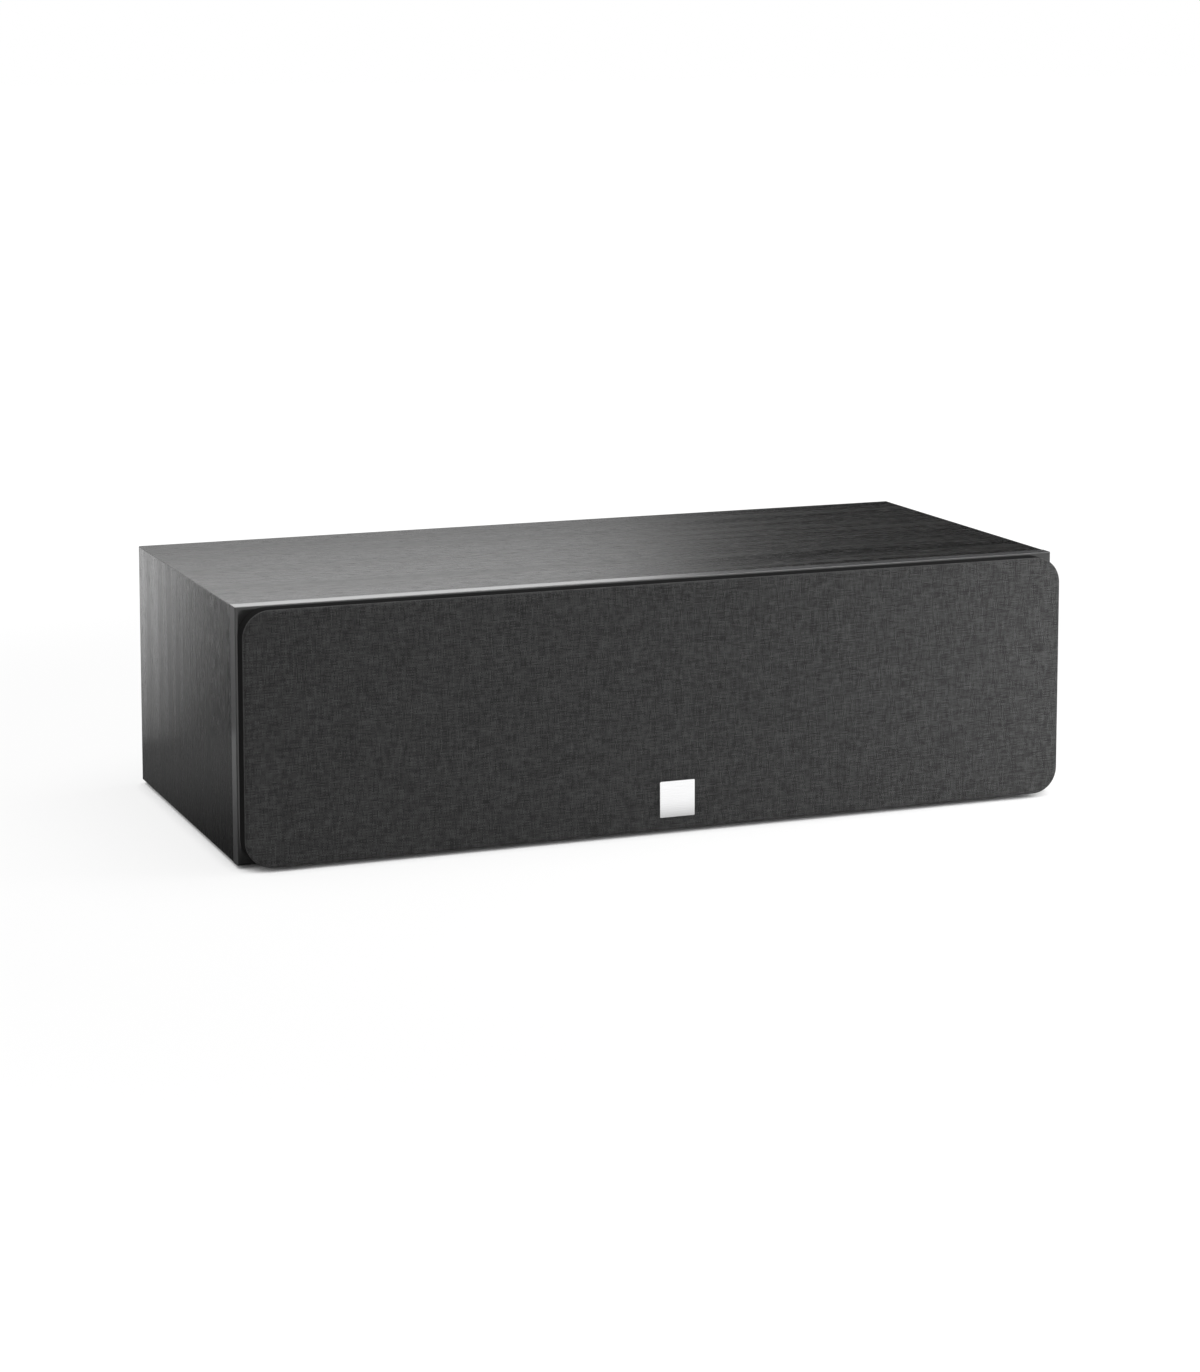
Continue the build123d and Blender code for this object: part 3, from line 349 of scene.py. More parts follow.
def sintered_ferrite(name):
    """Dull grey ceramic of a magnet."""
    return moulded(name, FERRITE_GREY, roughness=0.55, grain=700.0, depth=0.00004)


def melange_cloth(name, look):
    """Plain weave of slubby threads, read from a UV map in metres.

    Each warp and weft thread has its own streaks of lighter and darker yarn along its length, and
    the thread on top alternates from crossing to crossing.
    """
    material, nodes = new_material(name)
    u, v, _ = nodes.split(nodes.add("ShaderNodeTexCoord").outputs["UV"])
    column, row = u / look.thread_pitch, v / look.thread_pitch
    warp, weft = column.floor(), row.floor()
    warp_tone = nodes.noise(warp * THREADS_APART, v / look.slub_length, 0.0, 3.0)
    weft_tone = nodes.noise(u / look.slub_length, weft * THREADS_APART, 9.0, 3.0)
    rise = ((warp + weft) * math.pi).cosine()
    on_top = rise.above(0.0)
    tone = on_top * warp_tone + (1.0 - on_top) * weft_tone
    warp_hump = ((column - warp - 0.5) * math.pi).cosine() * (1.0 + 0.5 * rise)
    weft_hump = ((row - weft - 0.5) * math.pi).cosine() * (1.0 - 0.5 * rise)
    hump = warp_hump.most(weft_hump)
    shade = tone.ramp(0.31, 0.76)
    nodes.surface(
        Base_Color=nodes.mix(shade, tint(look.cloth_dark), tint(look.cloth_light)),
        Roughness=0.95 - 0.1 * shade,
        Specular_IOR_Level=0.15,
        Sheen_Weight=0.06,
        Sheen_Roughness=0.3,
        Normal=nodes.bump(hump, look.thread_pitch * 0.12),
    )
    return material


def fine_weave(name, colour, pitch, roughness):
    """Close woven cloth, stiffened or coated, with threads along X and Z. Its tone varies at
    random, and is lighter on the raised knots and darker in the dips between them, painted shade.
    """
    material, nodes = new_material(name)
    x, y, z = nodes.place()
    warp = (x * (math.pi / pitch)).cosine()
    weft = (z * (math.pi / pitch)).cosine()
    knots = warp * weft
    cloud = nodes.lumps(120.0)
    # The knots term darkens the dips between knots as painted shade; the cloud term is random tone.
    shade = 0.5 + 0.3 * knots + 0.3 * (cloud - 0.5)
    nodes.surface(
        Base_Color=nodes.mix(shade, tint(colour, 0.7), tint(colour, 1.3)),
        Roughness=roughness - 0.05 + 0.1 * cloud,
        Specular_IOR_Level=0.3,
        Normal=nodes.bump(knots, pitch * 0.08),
    )
    return material


def fibre_pulp(name, colour, fibre_colour):
    """Pressed paper pulp: pale fibres in a darker felt."""
    material, nodes = new_material(name)
    x, y, z = nodes.place()
    felt = nodes.lumps(700.0, 4.0)
    one_way = nodes.noise(x * 300.0, y * 900.0, z * 2600.0)
    other_way = nodes.noise(x * 2600.0, y * 900.0, z * 300.0)
    fibres = one_way.most(other_way).ramp(0.62, 0.72)
    nodes.surface(
        Base_Color=nodes.mix(0.4 * felt + 0.6 * fibres, tint(colour, 0.75), tint(fibre_colour)),
        Roughness=0.7 + 0.2 * felt,
        Specular_IOR_Level=0.25,
        Normal=nodes.bump(felt + 0.5 * fibres, 0.00008),
    )
    return material


def wound_wire(name, colour, pitch):
    """Enamelled wire wound in close turns around an axis along Y, darker in the grooves between
    turns as painted shade.
    """
    material, nodes = new_material(name)
    x, y, z = nodes.place()
    turn = (y * (math.pi / pitch)).cosine().size()
    cloud = nodes.noise(x * 90.0, y * 400.0, z * 90.0)
    # Low in the grooves between turns, which darkens them: painted shade.
    shade = 0.6 * (1.0 - turn) + 0.4 * cloud
    nodes.surface(
        Base_Color=nodes.mix(shade, tint(colour, 0.45), tint(colour, 1.1)),
        Metallic=1.0,
        Roughness=0.22 + 0.15 * cloud,
        Coat_Weight=0.5,
        Normal=nodes.bump(0.0 - turn, pitch * 0.3),
    )
    return material


def resin_board(name, colour):
    """Pressed resin laminate with a faint cloth pattern."""
    material, nodes = new_material(name)
    x, y, z = nodes.place()
    threads = (x * 4200.0).cosine() * (y * 4200.0).cosine()
    cloud = nodes.lumps(45.0, 4.0)
    shade = 0.5 * cloud + 0.25 + 0.15 * threads
    nodes.surface(
        Base_Color=nodes.mix(shade, tint(colour, 0.7), tint(colour, 1.25)),
        Roughness=0.38 + 0.15 * cloud,
        Normal=nodes.bump(threads, 0.00001),
    )
    return material


def fleece(name, colour):
    """Lofty fibre fleece: soft tufts with fine crossing fibres."""
    material, nodes = new_material(name)
    x, y, z = nodes.place()
    tufts = nodes.lumps(60.0, 6.0)
    fibres = nodes.noise(x * 1800.0, y * 500.0, z * 900.0, 3.0)
    nodes.surface(
        Base_Color=nodes.mix(0.5 * tufts + 0.5 * fibres, tint(colour, 0.75), tint(colour, 1.15)),
        Roughness=0.95 - 0.1 * fibres,
        Specular_IOR_Level=0.1,
        Normal=nodes.bump(tufts + 0.6 * fibres, 0.0015),
    )
    return material


def lead_sleeve(name, first, second):
    """Soft wire sleeves: one colour at each side of the middle of the leads."""
    material, nodes = new_material(name)
    x, y, z = nodes.place()
    scuff = nodes.lumps(300.0)
    shade = nodes.mix(x.above(0.0), tint(first), tint(second))
    nodes.surface(
        Base_Color=nodes.mix(0.25 * scuff, shade, tint(first, 0.4)),
        Roughness=0.4 + 0.15 * scuff,
        Normal=nodes.bump(scuff, 0.00002),
    )
    return material


def dress(material, *names):
    """Give CAD nodes a material."""
    for name in names:
        for slot in NODES[name].material_slots:
            slot.material = material


def grid_quads(rows, columns, close_rows=False, close_columns=False):
    """Corner numbers of the quads of a grid of points, closed round either way where asked."""
    row = np.arange(rows if close_rows else rows - 1)[:, None]
    column = np.arange(columns if close_columns else columns - 1)[None, :]
    below, beside = (row + 1) % rows, (column + 1) % columns
    near, far = row * columns, below * columns
    corners = np.broadcast_arrays(near + column, near + beside, far + beside, far + column)
    return np.stack(corners, -1).reshape(-1, 4)


def add_piece(name, points, quads, material, flat=None):
    """Add a smooth mesh object from points and quads, with a UV map if flat places are given."""
    mesh = bpy.data.meshes.new(name)
    mesh.from_pydata(points.reshape(-1, 3), [], quads)
    if flat is not None:
        corner = np.empty(len(mesh.loops), dtype=np.int32)
        mesh.loops.foreach_get("vertex_index", corner)
        mesh.uv_layers.new(name="Weave").data.foreach_set("uv", flat.reshape(-1, 2)[corner].ravel())
    weld = bmesh.new()
    weld.from_mesh(mesh)
    bmesh.ops.remove_doubles(weld, verts=weld.verts, dist=0.000001)
    bmesh.ops.recalc_face_normals(weld, faces=weld.faces)
    weld.to_mesh(mesh)
    weld.free()
    mesh.shade_smooth()
    mesh.materials.append(material)
    piece = bpy.data.objects.new(name, mesh)
    bpy.context.scene.collection.objects.link(piece)
    return piece


def turned(radius, depth, centre, segments=128):
    """Points of a closed profile turned around an axis along Y.

    Each profile point becomes a ring: x and z are the axis plus the radius times the cosine and
    sine of the angle, and y is the point's depth.
    """
    angle = np.linspace(0.0, 2 * np.pi, segments, endpoint=False)[:, None]
    x = centre.x + np.cos(angle) * radius
    z = centre.z + np.sin(angle) * radius
    return np.stack((x, np.broadcast_to(depth, x.shape), z), -1)


def bend_by_radius(piece, centre, inner, outer):
    """Bake a ring's transform into its points, and work out the share of each point that would
    follow the cone at its inner radius rather than the cabinet at its outer radius; the points are
    not moved. The share eases in between: with s as the way in from the outer radius, from 0 to 1,
    it is s squared times three less two s.
    """
    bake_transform(piece)
    points = np.empty(3 * len(piece.data.vertices), dtype=np.float32)
    piece.data.vertices.foreach_get("co", points)
    points = points.reshape(-1, 3)
    radius = np.hypot(points[:, 0] - centre.x, points[:, 2] - centre.z)
    share = np.clip((outer - radius) / (outer - inner), 0.0, 1.0)
    share = share * share * (3.0 - 2.0 * share)


class CabinetSettings(bpy.types.PropertyGroup):
    vinyl_colour: FloatVectorProperty(
        name="Vinyl colour", description="Middle tone of the wood-grain foil",
        default=(0.013, 0.0128, 0.0126), subtype="COLOR", min=0, max=1)
    vinyl_roughness: FloatProperty(
        name="Vinyl roughness", description="Roughness of the foil between its pores",
        default=0.27, subtype="FACTOR", min=0, max=1)
    grain_length: FloatProperty(
        name="Grain length", description="Usual length of a grain streak",
        default=0.12, unit="LENGTH")
    grain_width: FloatProperty(
        name="Grain width", description="Usual width of a grain streak",
        default=0.0022, unit="LENGTH")
    # The front's near-black is painted shade on the face around the grille; the baffle's paint is
    # the lip's grey.
    front_shade_colour: FloatVectorProperty(
        name="Front colour", description="Colour of the baffle's front behind the grille",
        default=(0.012, 0.012, 0.012), subtype="COLOR", min=0, max=1)
    front_roughness: FloatProperty(
        name="Front roughness", description="Roughness of the front's paint",
        default=0.55, subtype="FACTOR", min=0, max=1)
    paint_colour: FloatVectorProperty(
        name="Lip colour", description="Colour of the lip round the baffle",
        default=(0.11, 0.11, 0.112), subtype="COLOR", min=0, max=1)
    paint_roughness: FloatProperty(
        name="Lip roughness", description="Roughness of the lip's paint",
        default=0.3, subtype="FACTOR", min=0, max=1)
    rear_colour: FloatVectorProperty(
        name="Rear colour", description="Colour of the rear panel's board",
        default=(0.02, 0.02, 0.02), subtype="COLOR", min=0, max=1)


class GrilleSettings(bpy.types.PropertyGroup):
    cloth_dark: FloatVectorProperty(
        name="Dark yarn", description="Darkest yarn of the cloth",
        default=(0.03, 0.03, 0.03), subtype="COLOR", min=0, max=1)
    cloth_light: FloatVectorProperty(
        name="Light yarn", description="Lightest yarn of the cloth",
        default=(0.089, 0.089, 0.089), subtype="COLOR", min=0, max=1)
    thread_pitch: FloatProperty(
        name="Thread pitch", description="Distance from one thread to the next",
        default=0.0008, unit="LENGTH")
    slub_length: FloatProperty(
        name="Slub length", description="Usual length of a light or dark stretch of yarn",
        default=0.008, unit="LENGTH")
    corner_radius: FloatProperty(
        name="Corner radius", description="Radius of the grille's corners",
        default=0.017, unit="LENGTH")
    edge_radius: FloatProperty(
        name="Edge radius", description="Radius of the cloth's fold over the frame's edge",
        default=0.0015, unit="LENGTH")
    thickness: FloatProperty(
        name="Thickness", description="Thickness of the cloth", default=0.0008, unit="LENGTH")
    plastic_colour: FloatVectorProperty(
        name="Frame colour", description="Colour of the moulded frame",
        default=(0.018, 0.018, 0.018), subtype="COLOR", min=0, max=1)
    badge_colour: FloatVectorProperty(
        name="Badge colour", description="Colour of the bare metal badge",
        default=(0.9, 0.9, 0.905), subtype="COLOR", min=0, max=1)


class WooferSettings(bpy.types.PropertyGroup):
    cone_colour: FloatVectorProperty(
        name="Cone colour", description="Colour of the paper pulp",
        default=(0.11, 0.045, 0.022), subtype="COLOR", min=0, max=1)
    rubber_colour: FloatVectorProperty(
        name="Surround colour", description="Colour of the surround's rubber",
        default=(0.016, 0.016, 0.016), subtype="COLOR", min=0, max=1)
    spider_colour: FloatVectorProperty(
        name="Spider colour", description="Colour of the impregnated cloth",
        default=(0.42, 0.30, 0.12), subtype="COLOR", min=0, max=1)
    surround_thickness: FloatProperty(
        name="Surround thickness", description="Thickness of the surround's rubber",
        default=0.0007, unit="LENGTH")
    surround_lip: FloatProperty(
        name="Surround lip", description="Width of each glued lip of the surround",
        default=0.003, unit="LENGTH")
    neck_radius: FloatProperty(
        name="Neck radius", description="Radius at which the spider is glued to the coil former",
        default=0.0131, unit="LENGTH")
    spider_thickness: FloatProperty(
        name="Spider thickness", description="Thickness of the spider's cloth",
        default=0.0006, unit="LENGTH")
    spider_rim: FloatProperty(
        name="Spider rim", description="Width of the spider's flat glued rim",
        default=0.007, unit="LENGTH")
    spider_waves: IntProperty(
        name="Half waves", description="Number of half waves across the spider", default=9, min=1)


class TweeterSettings(bpy.types.PropertyGroup):
    plate_colour: FloatVectorProperty(
        name="Faceplate colour", description="Colour of the moulded faceplate",
        default=(0.016, 0.016, 0.017), subtype="COLOR", min=0, max=1)
    dome_colour: FloatVectorProperty(
        name="Dome colour", description="Colour of the coated silk",
        default=(0.03, 0.03, 0.032), subtype="COLOR", min=0, max=1)
    dome_pitch: FloatProperty(
        name="Dome thread pitch", description="Distance between the dome's threads",
        default=0.0004, unit="LENGTH")


class TerminalSettings(bpy.types.PropertyGroup):
    red: FloatVectorProperty(
        name="Red", description="Colour of the positive thumb nut",
        default=(0.5, 0.016, 0.016), subtype="COLOR", min=0, max=1)
    black: FloatVectorProperty(
        name="Black", description="Colour of the negative thumb nut",
        default=(0.018, 0.018, 0.018), subtype="COLOR", min=0, max=1)
    gold: FloatVectorProperty(
        name="Gold", description="Colour of the plated posts and washers",
        default=(0.83, 0.62, 0.25), subtype="COLOR", min=0, max=1)


class CrossoverSettings(bpy.types.PropertyGroup):
    board_colour: FloatVectorProperty(
        name="Board colour", description="Colour of the resin board",
        default=(0.28, 0.20, 0.10), subtype="COLOR", min=0, max=1)
    copper: FloatVectorProperty(
        name="Copper", description="Colour of the enamelled wire",
        default=(0.72, 0.33, 0.15), subtype="COLOR", min=0, max=1)
    wire_pitch: FloatProperty(
        name="Wire pitch", description="Distance between turns of the coils",
        default=0.001, unit="LENGTH")


class WaddingSettings(bpy.types.PropertyGroup):
    colour: FloatVectorProperty(
        name="Fleece colour", description="Colour of the damping fleece",
        default=(0.7, 0.7, 0.68), subtype="COLOR", min=0, max=1)
    lump: FloatProperty(
        name="Lump height", description="Height of the soft lumps of the fleece",
        default=0.0012, unit="LENGTH")
    fill: FloatProperty(
        name="Fill", description="How full the pads are",
        default=0.5, subtype="FACTOR", min=0, max=1)


class StageSettings(bpy.types.PropertyGroup):
    lens: FloatProperty(
        name="Focal length", description="Focal length of the camera",
        default=86.487, unit="CAMERA")
    lens_shift: FloatProperty(
        name="Lens shift", description="Vertical shift of the camera's lens", default=-0.2)
    camera_place: FloatVectorProperty(
        name="Camera place", description="Where the camera stands",
        default=(-0.78834, -2.01644, 0.52014), subtype="TRANSLATION", unit="LENGTH")
    camera_turn: FloatProperty(
        name="Camera turn", description="How far the camera turns to the right of straight ahead",
        default=math.radians(21.411), subtype="ANGLE", unit="ROTATION")
    camera_dip: FloatProperty(
        name="Camera dip", description="How far the camera looks down",
        default=math.radians(6.9729), subtype="ANGLE", unit="ROTATION")
    top_power: FloatProperty(
        name="Top light", description="Power of the softbox overhead",
        default=22.0, unit="POWER")
    side_power: FloatProperty(
        name="Side light", description="Power of the softbox at the front right",
        default=2.3, unit="POWER")
    room_level: FloatProperty(
        name="Room level", description="Brightness of the room's soft light", default=0.4)
    panel_level: FloatProperty(
        name="Panel level", description="Brightness of the pale wall behind in reflections",
        default=1.5)
    ceiling_level: FloatProperty(
        name="Ceiling level", description="Brightness of the ceiling behind in reflections",
        default=4.4)
    white_share: FloatProperty(
        name="Floor glow", description="Share of the floor's white that is free of shadow",
        default=0.75, subtype="FACTOR", min=0, max=1)


class SPEAKER_OT_cabinet(bpy.types.Operator):
    """Wrap the cabinet in wood-grain foil and paint its baffle and rear"""

    bl_idname = "speaker.cabinet"
    bl_label = "Cabinet"

    def execute(self, context):
        look = context.scene.speaker_cabinet
        dress(ash_vinyl("ash_vinyl_lengthways", look, False), "cabinet_top", "cabinet_bottom")
        dress(ash_vinyl("ash_vinyl_upright", look, True), "cabinet_left_side", "cabinet_right_side")
        # The baffle's front gets black as painted shade, its lip the grey paint.
        dress(lip_paint_shaded_front("baffle_satin_front_shade", look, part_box("front_baffle")[0].y), "front_baffle")
        dress(satin_paint("rear_matte", look.rear_colour, roughness=0.6), "rear_panel")
        rubber = moulded("foot_rubber_matte", RUBBER_BLACK, roughness=0.8)
        dress(rubber, "feet", "grille_sockets")
        return {"FINISHED"}


class SPEAKER_OT_grille(bpy.types.Operator):
    """Finish the moulded grille frame and the bare metal badge"""

    bl_idname = "speaker.grille"
    bl_label = "Grille frame and badge"

    def execute(self, context):
        look = context.scene.speaker_grille
        plastic = moulded("frame_textured", look.plastic_colour, roughness=0.85, shine=0.0)
        dress(plastic, "grille_frame")
        metal = machined("badge_brushed", look.badge_colour, roughness=0.19, marks=BRUSHED_MARKS)
        dress(metal, "grille_badge")
        return {"FINISHED"}


class SPEAKER_OT_grille_cloth(bpy.types.Operator):
    """Stretch woven cloth over the grille frame"""

    bl_idname = "speaker.grille_cloth"
    bl_label = "Grille cloth"

    def execute(self, context):
        look = context.scene.speaker_grille
        low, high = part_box("grille_cloth")
        size, middle = high - low, (low + high) / 2
        points, flat = self.stretched(size, middle, low.y, look)
        piece = add_piece(
            "grille_cloth_woven", points, grid_quads(*points.shape[:2], close_columns=True),
            melange_cloth("cloth_melange", look), flat)
        solid = piece.modifiers.new("Thickness", "SOLIDIFY")
        solid.thickness = look.thickness
        solid.offset = -1.0
        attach(piece, "grille")
        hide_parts("grille_cloth")
        return {"FINISHED"}

    def stretched(self, size, middle, face, look):
        """Points and flat places of a sheet over a frame with rounded corners and edges.

        One parameter runs round the rounded rectangle of the frame, which is a core plus the corner
        radius along an outward direction. The other runs from the cloth's edge up the frame's side,
        over a quarter circle, and then straight in to the middle line of the front.
        """
        corner_steps, side_steps = 13, (90, 26, 90, 26)
        wall_steps, fold_steps, front_steps = 3, 9, 30
        half = np.array((size.x, size.z)) / 2
        angle = np.linspace(0.0, np.pi / 2, corner_steps)
        corner = np.stack((np.cos(angle), np.sin(angle)), -1)
        turn = np.array(((0.0, -1.0), (1.0, 0.0)))
        out = [corner @ np.linalg.matrix_power(turn, -k) for k in range(4)]
        signs = ((1, 1), (-1, 1), (-1, -1), (1, -1))
        core = [np.array(sign) * (half - look.corner_radius) for sign in signs]
        arcs = [np.concatenate((c + 0 * o, o), -1) for c, o in zip(core, out)]
        ends = [(arcs[k][-1], arcs[(k + 1) % 4][0]) for k in range(4)]
        sides = [np.linspace(*end, steps)[1:-1] for end, steps in zip(ends, side_steps)]
        loop = np.concatenate([part for pair in zip(arcs, sides) for part in pair])
        core, out = loop[:, :2], loop[:, 2:]
        wall = np.linspace(size.y, look.edge_radius, wall_steps)[:-1]
        fold = np.linspace(0.0, np.pi / 2, fold_steps)
        inset = np.concatenate((0 * wall, look.edge_radius * (1 - np.cos(fold))))
        depth = np.concatenate((wall, look.edge_radius * (1 - np.sin(fold))))
        reach = np.concatenate((
            wall - look.edge_radius + look.edge_radius * np.pi / 2,
            look.edge_radius * (np.pi / 2 - fold))) - look.edge_radius
        rim = core + out * (look.corner_radius - inset[:, None, None])
        along = np.clip(core[:, 0], half[1] - half[0], half[0] - half[1])
        line = np.stack((along, 0 * along), -1)
        share = np.linspace(0.0, 1.0, front_steps)[1:, None, None]
        front = rim[-1] + (line - rim[-1]) * share
        plan = np.concatenate((rim, front)) + np.array((middle.x, middle.z))
        flat = np.concatenate((core + out * (look.corner_radius + reach[:, None, None]), front))
        y = face + np.concatenate((depth, np.zeros(len(front))))
        y = np.broadcast_to(y[:, None], plan.shape[:2])
        return np.stack((plan[..., 0], y, plan[..., 1]), -1), flat


class SPEAKER_OT_woofers(bpy.types.Operator):
    """Finish the two woofers and give each a rolled surround and a rippled spider"""

    bl_idname = "speaker.woofers"
    bl_label = "Woofers"

    def execute(self, context):
        look = context.scene.speaker_woofers
        rubber = moulded(
            "surround_satin", look.rubber_colour, roughness=0.5, grain=2500.0, depth=0.00001)
        cloth = fine_weave("spider_weave", look.spider_colour, pitch=0.0006, roughness=0.8)
        cap_colour = tint(look.cone_colour, 0.8)[:3]
        finishes = {
            "cone": fibre_pulp("cone_pulp_fibres", look.cone_colour, CONE_FIBRES),
            "dust_cap": fibre_pulp("cap_pulp_fibres", cap_colour, CAP_FIBRES),
            "basket": satin_paint("basket_coated", COATED_BLACK, roughness=0.5),
            "voice_coil": wound_wire("voice_coil_wire", COIL_COPPER, pitch=0.0003),
            "top_plate": machined("plate_zinc", PLATE_ZINC, roughness=0.35, marks=TURNED_MARKS),
            "magnet": sintered_ferrite("ferrite_sintered"),
            "yoke": machined("yoke_zinc", YOKE_ZINC, roughness=0.38, marks=TURNED_MARKS),
            "screws": oxide_screws("screw_oxide"),
        }
        for side in SIDES:
            for part, material in finishes.items():
                dress(material, f"woofer_{side}_{part}")
            self.surround(side, look, rubber)
            self.spider(side, look, cloth)
        return {"FINISHED"}

    def surround(self, side, look, material):
        """Turn a half-round roll between two flat lips, with an even thickness.

        Over the roll's angle, the radius is the crest's plus the roll times the cosine, and the
        depth is the seat's less the roll times the sine. The under face has the roll less the
        thickness, and near its feet it runs down to the lips' under face.
        """
        roll_steps, foot = 25, 0.2
        node = f"woofer_{side}_surround"
        low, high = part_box(node)
        centre, outer, thick = (low + high) / 2, (high.x - low.x) / 2, look.surround_thickness
        roll = high.y - low.y - thick
        seat = high.y - thick
        crest = outer - look.surround_lip - roll
        inner = crest - roll - look.surround_lip
        under = roll - thick
        angle = np.linspace(np.pi, 0.0, roll_steps)
        back = angle[::-1]
        rise = np.sin(back)
        below = np.where(rise > foot, seat - under * rise, high.y - roll * rise)
        radius = np.concatenate((
            (inner,), crest + roll * np.cos(angle), (outer, outer),
            crest + under * np.cos(back), (inner,)))
        depth = np.concatenate((
            (seat,), seat - roll * np.sin(angle), (seat, high.y), below, (high.y,)))
        points = turned(radius, depth, centre)
        quads = grid_quads(*points.shape[:2], close_rows=True, close_columns=True)
        piece = add_piece(f"surround_{side}_roll", points, quads, material)
        bend_by_radius(piece, centre, crest - roll, crest + roll)
        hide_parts(node)

    def spider(self, side, look, material):
        """Turn a row of even waves between the coil former and a flat rim.

        The front's depth is a middle depth plus the wave's height times the cosine of half a turn
        per half wave, from the neck to the waves' end. The back is one thickness behind it.
        """
        wave_steps = 12
        node = f"woofer_{side}_spider"
        low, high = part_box(node)
        centre, outer, thick = (low + high) / 2, (high.x - low.x) / 2, look.spider_thickness
        wave = (high.y - low.y - thick) / 2
        shelf = outer - look.spider_rim
        end = shelf - wave
        waves = np.linspace(look.neck_radius, end, wave_steps * look.spider_waves + 1)
        radius = np.concatenate((waves, (shelf, outer)))
        phase = np.clip((radius - look.neck_radius) / (end - look.neck_radius), 0.0, 1.0)
        ripple = wave * np.cos(np.pi * look.spider_waves * phase)
        ripple[-2:] = 0.0
        front = low.y + wave + ripple
        radius = np.concatenate((radius, radius[::-1]))
        depth = np.concatenate((front, front[::-1] + thick))
        points = turned(radius, depth, centre)
        quads = grid_quads(*points.shape[:2], close_rows=True, close_columns=True)
        piece = add_piece(f"spider_{side}_rippled", points, quads, material)
        bend_by_radius(piece, centre, look.neck_radius, shelf)
        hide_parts(node)


class SPEAKER_OT_tweeter(bpy.types.Operator):
    """Finish the tweeter's faceplate, dome and motor"""

    bl_idname = "speaker.tweeter"
    bl_label = "Tweeter"

    def execute(self, context):
        look = context.scene.speaker_tweeter
        dress(moulded("faceplate_satin", look.plate_colour, roughness=0.45), "tweeter_faceplate")
        silk = fine_weave("dome_silk", look.dome_colour, look.dome_pitch, roughness=0.5)
        dress(silk, "tweeter_dome")
        dress(wound_wire("tweeter_coil_wire", COIL_COPPER, pitch=0.0002), "tweeter_voice_coil")
        zinc = machined("tweeter_zinc", TWEETER_ZINC, roughness=0.36, marks=TURNED_MARKS)
        dress(zinc, "tweeter_top_plate", "tweeter_yoke")
        dress(sintered_ferrite("tweeter_ferrite"), "tweeter_magnet")
        dress(oxide_screws("tweeter_screw_oxide"), "tweeter_screws")
        return {"FINISHED"}


class SPEAKER_OT_terminals(bpy.types.Operator):
    """Finish the ports, the terminal cup and its binding posts"""

    bl_idname = "speaker.terminals"
    bl_label = "Ports and terminals"

    def execute(self, context):
        look = context.scene.speaker_terminals
        port = moulded("port_smooth", PORT_BLACK, roughness=0.4, grain=2500.0, depth=0.000008)
        dress(port, "port_left", "port_right")
        dress(moulded("cup_textured", CUP_BLACK, roughness=0.5), "terminal_cup")
        dress(oxide_screws("terminal_screw_oxide"), "terminal_screws")
        gold = machined("post_gold", look.gold, roughness=0.25, marks=PLATED_MARKS)
        dress(gold, "terminal_post_red", "terminal_post_black", "terminal_lock_nuts")
        dress(gold, "terminal_washer_red", "terminal_washer_black")
        for tone in ("red", "black"):
            colour = getattr(look, tone)
            clear = satin_paint(f"nut_{tone}_clear", colour, roughness=0.2, coat=0.8)
            dress(clear, f"terminal_nut_{tone}")
        return {"FINISHED"}


class SPEAKER_OT_crossover(bpy.types.Operator):
    """Finish the crossover's board, coils, capacitors and resistors, and the leads"""

    bl_idname = "speaker.crossover"
    bl_label = "Crossover and leads"

    def execute(self, context):
        look = context.scene.speaker_crossover
        dress(resin_board("board_resin", look.board_colour), "crossover_board")
        nylon = moulded("spacer_nylon", NYLON_WHITE, roughness=0.45, grain=1200.0, depth=0.00001)
        dress(nylon, "crossover_spacers")
        wire = wound_wire("coil_wire", look.copper, look.wire_pitch)
        dress(wire, "crossover_low_coil", "crossover_high_coil")
        film = satin_paint("capacitor_film", FILM_AMBER, roughness=0.3, coat=0.4)
        dress(film, "crossover_capacitors")
        cast = moulded("resistor_cast", CAST_GREY, roughness=0.8, grain=900.0, depth=0.00008)
        dress(cast, "crossover_resistors")
        sleeve = lead_sleeve("lead_sleeves", SLEEVE_RED, RUBBER_BLACK)
        dress(sleeve, "input_leads", "woofer_leads", "tweeter_lead")
        return {"FINISHED"}


class SPEAKER_OT_wadding(bpy.types.Operator):
    """Lay a pad of damping fleece behind each woofer"""

    bl_idname = "speaker.wadding"
    bl_label = "Damping fleece"

    def execute(self, context):
        look = context.scene.speaker_wadding
        material = fleece("fleece_lofty", look.colour)
        for seed, side in enumerate(SIDES):
            low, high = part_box(f"wadding_{side}")
            points = self.pad(low, high, look.lump, seed)
            quads = grid_quads(*points.shape[:2], close_columns=True)
            piece = add_piece(f"fleece_pad_{side}", points, quads, material)
            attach(piece, "cabinet")
            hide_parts(f"wadding_{side}")
        return {"FINISHED"}

    def pad(self, low, high, lump, seed):
        """Points of a soft block: a ball squared off to fill its box, with waves on it.

        A place on the ball is divided by its sixth power norm, which gives round edges. The waves
        are sines of that place along two directions, and each pad has its own start.
        """
        rings, ring_steps, squareness = 72, 144, 6
        long_waves, short_waves = np.array((9.0, 5.0, 11.0)), np.array((-17.0, 13.0, 8.0))
        up = np.linspace(-np.pi / 2, np.pi / 2, rings)[:, None]
        around = np.linspace(0.0, 2 * np.pi, ring_steps, endpoint=False)[None, :]
        ball = np.stack(np.broadcast_arrays(
            np.cos(up) * np.cos(around), np.sin(up), np.cos(up) * np.sin(around)), -1)
        squared = ball / np.linalg.norm(ball, ord=squareness, axis=-1, keepdims=True)
        waves = np.sin(ball @ long_waves + seed) + np.sin(ball @ short_waves + 2 * seed)
        half = np.array(high - low) / 2
        return np.array((low + high) / 2) + squared * (half - lump + 0.5 * lump * waves[..., None])


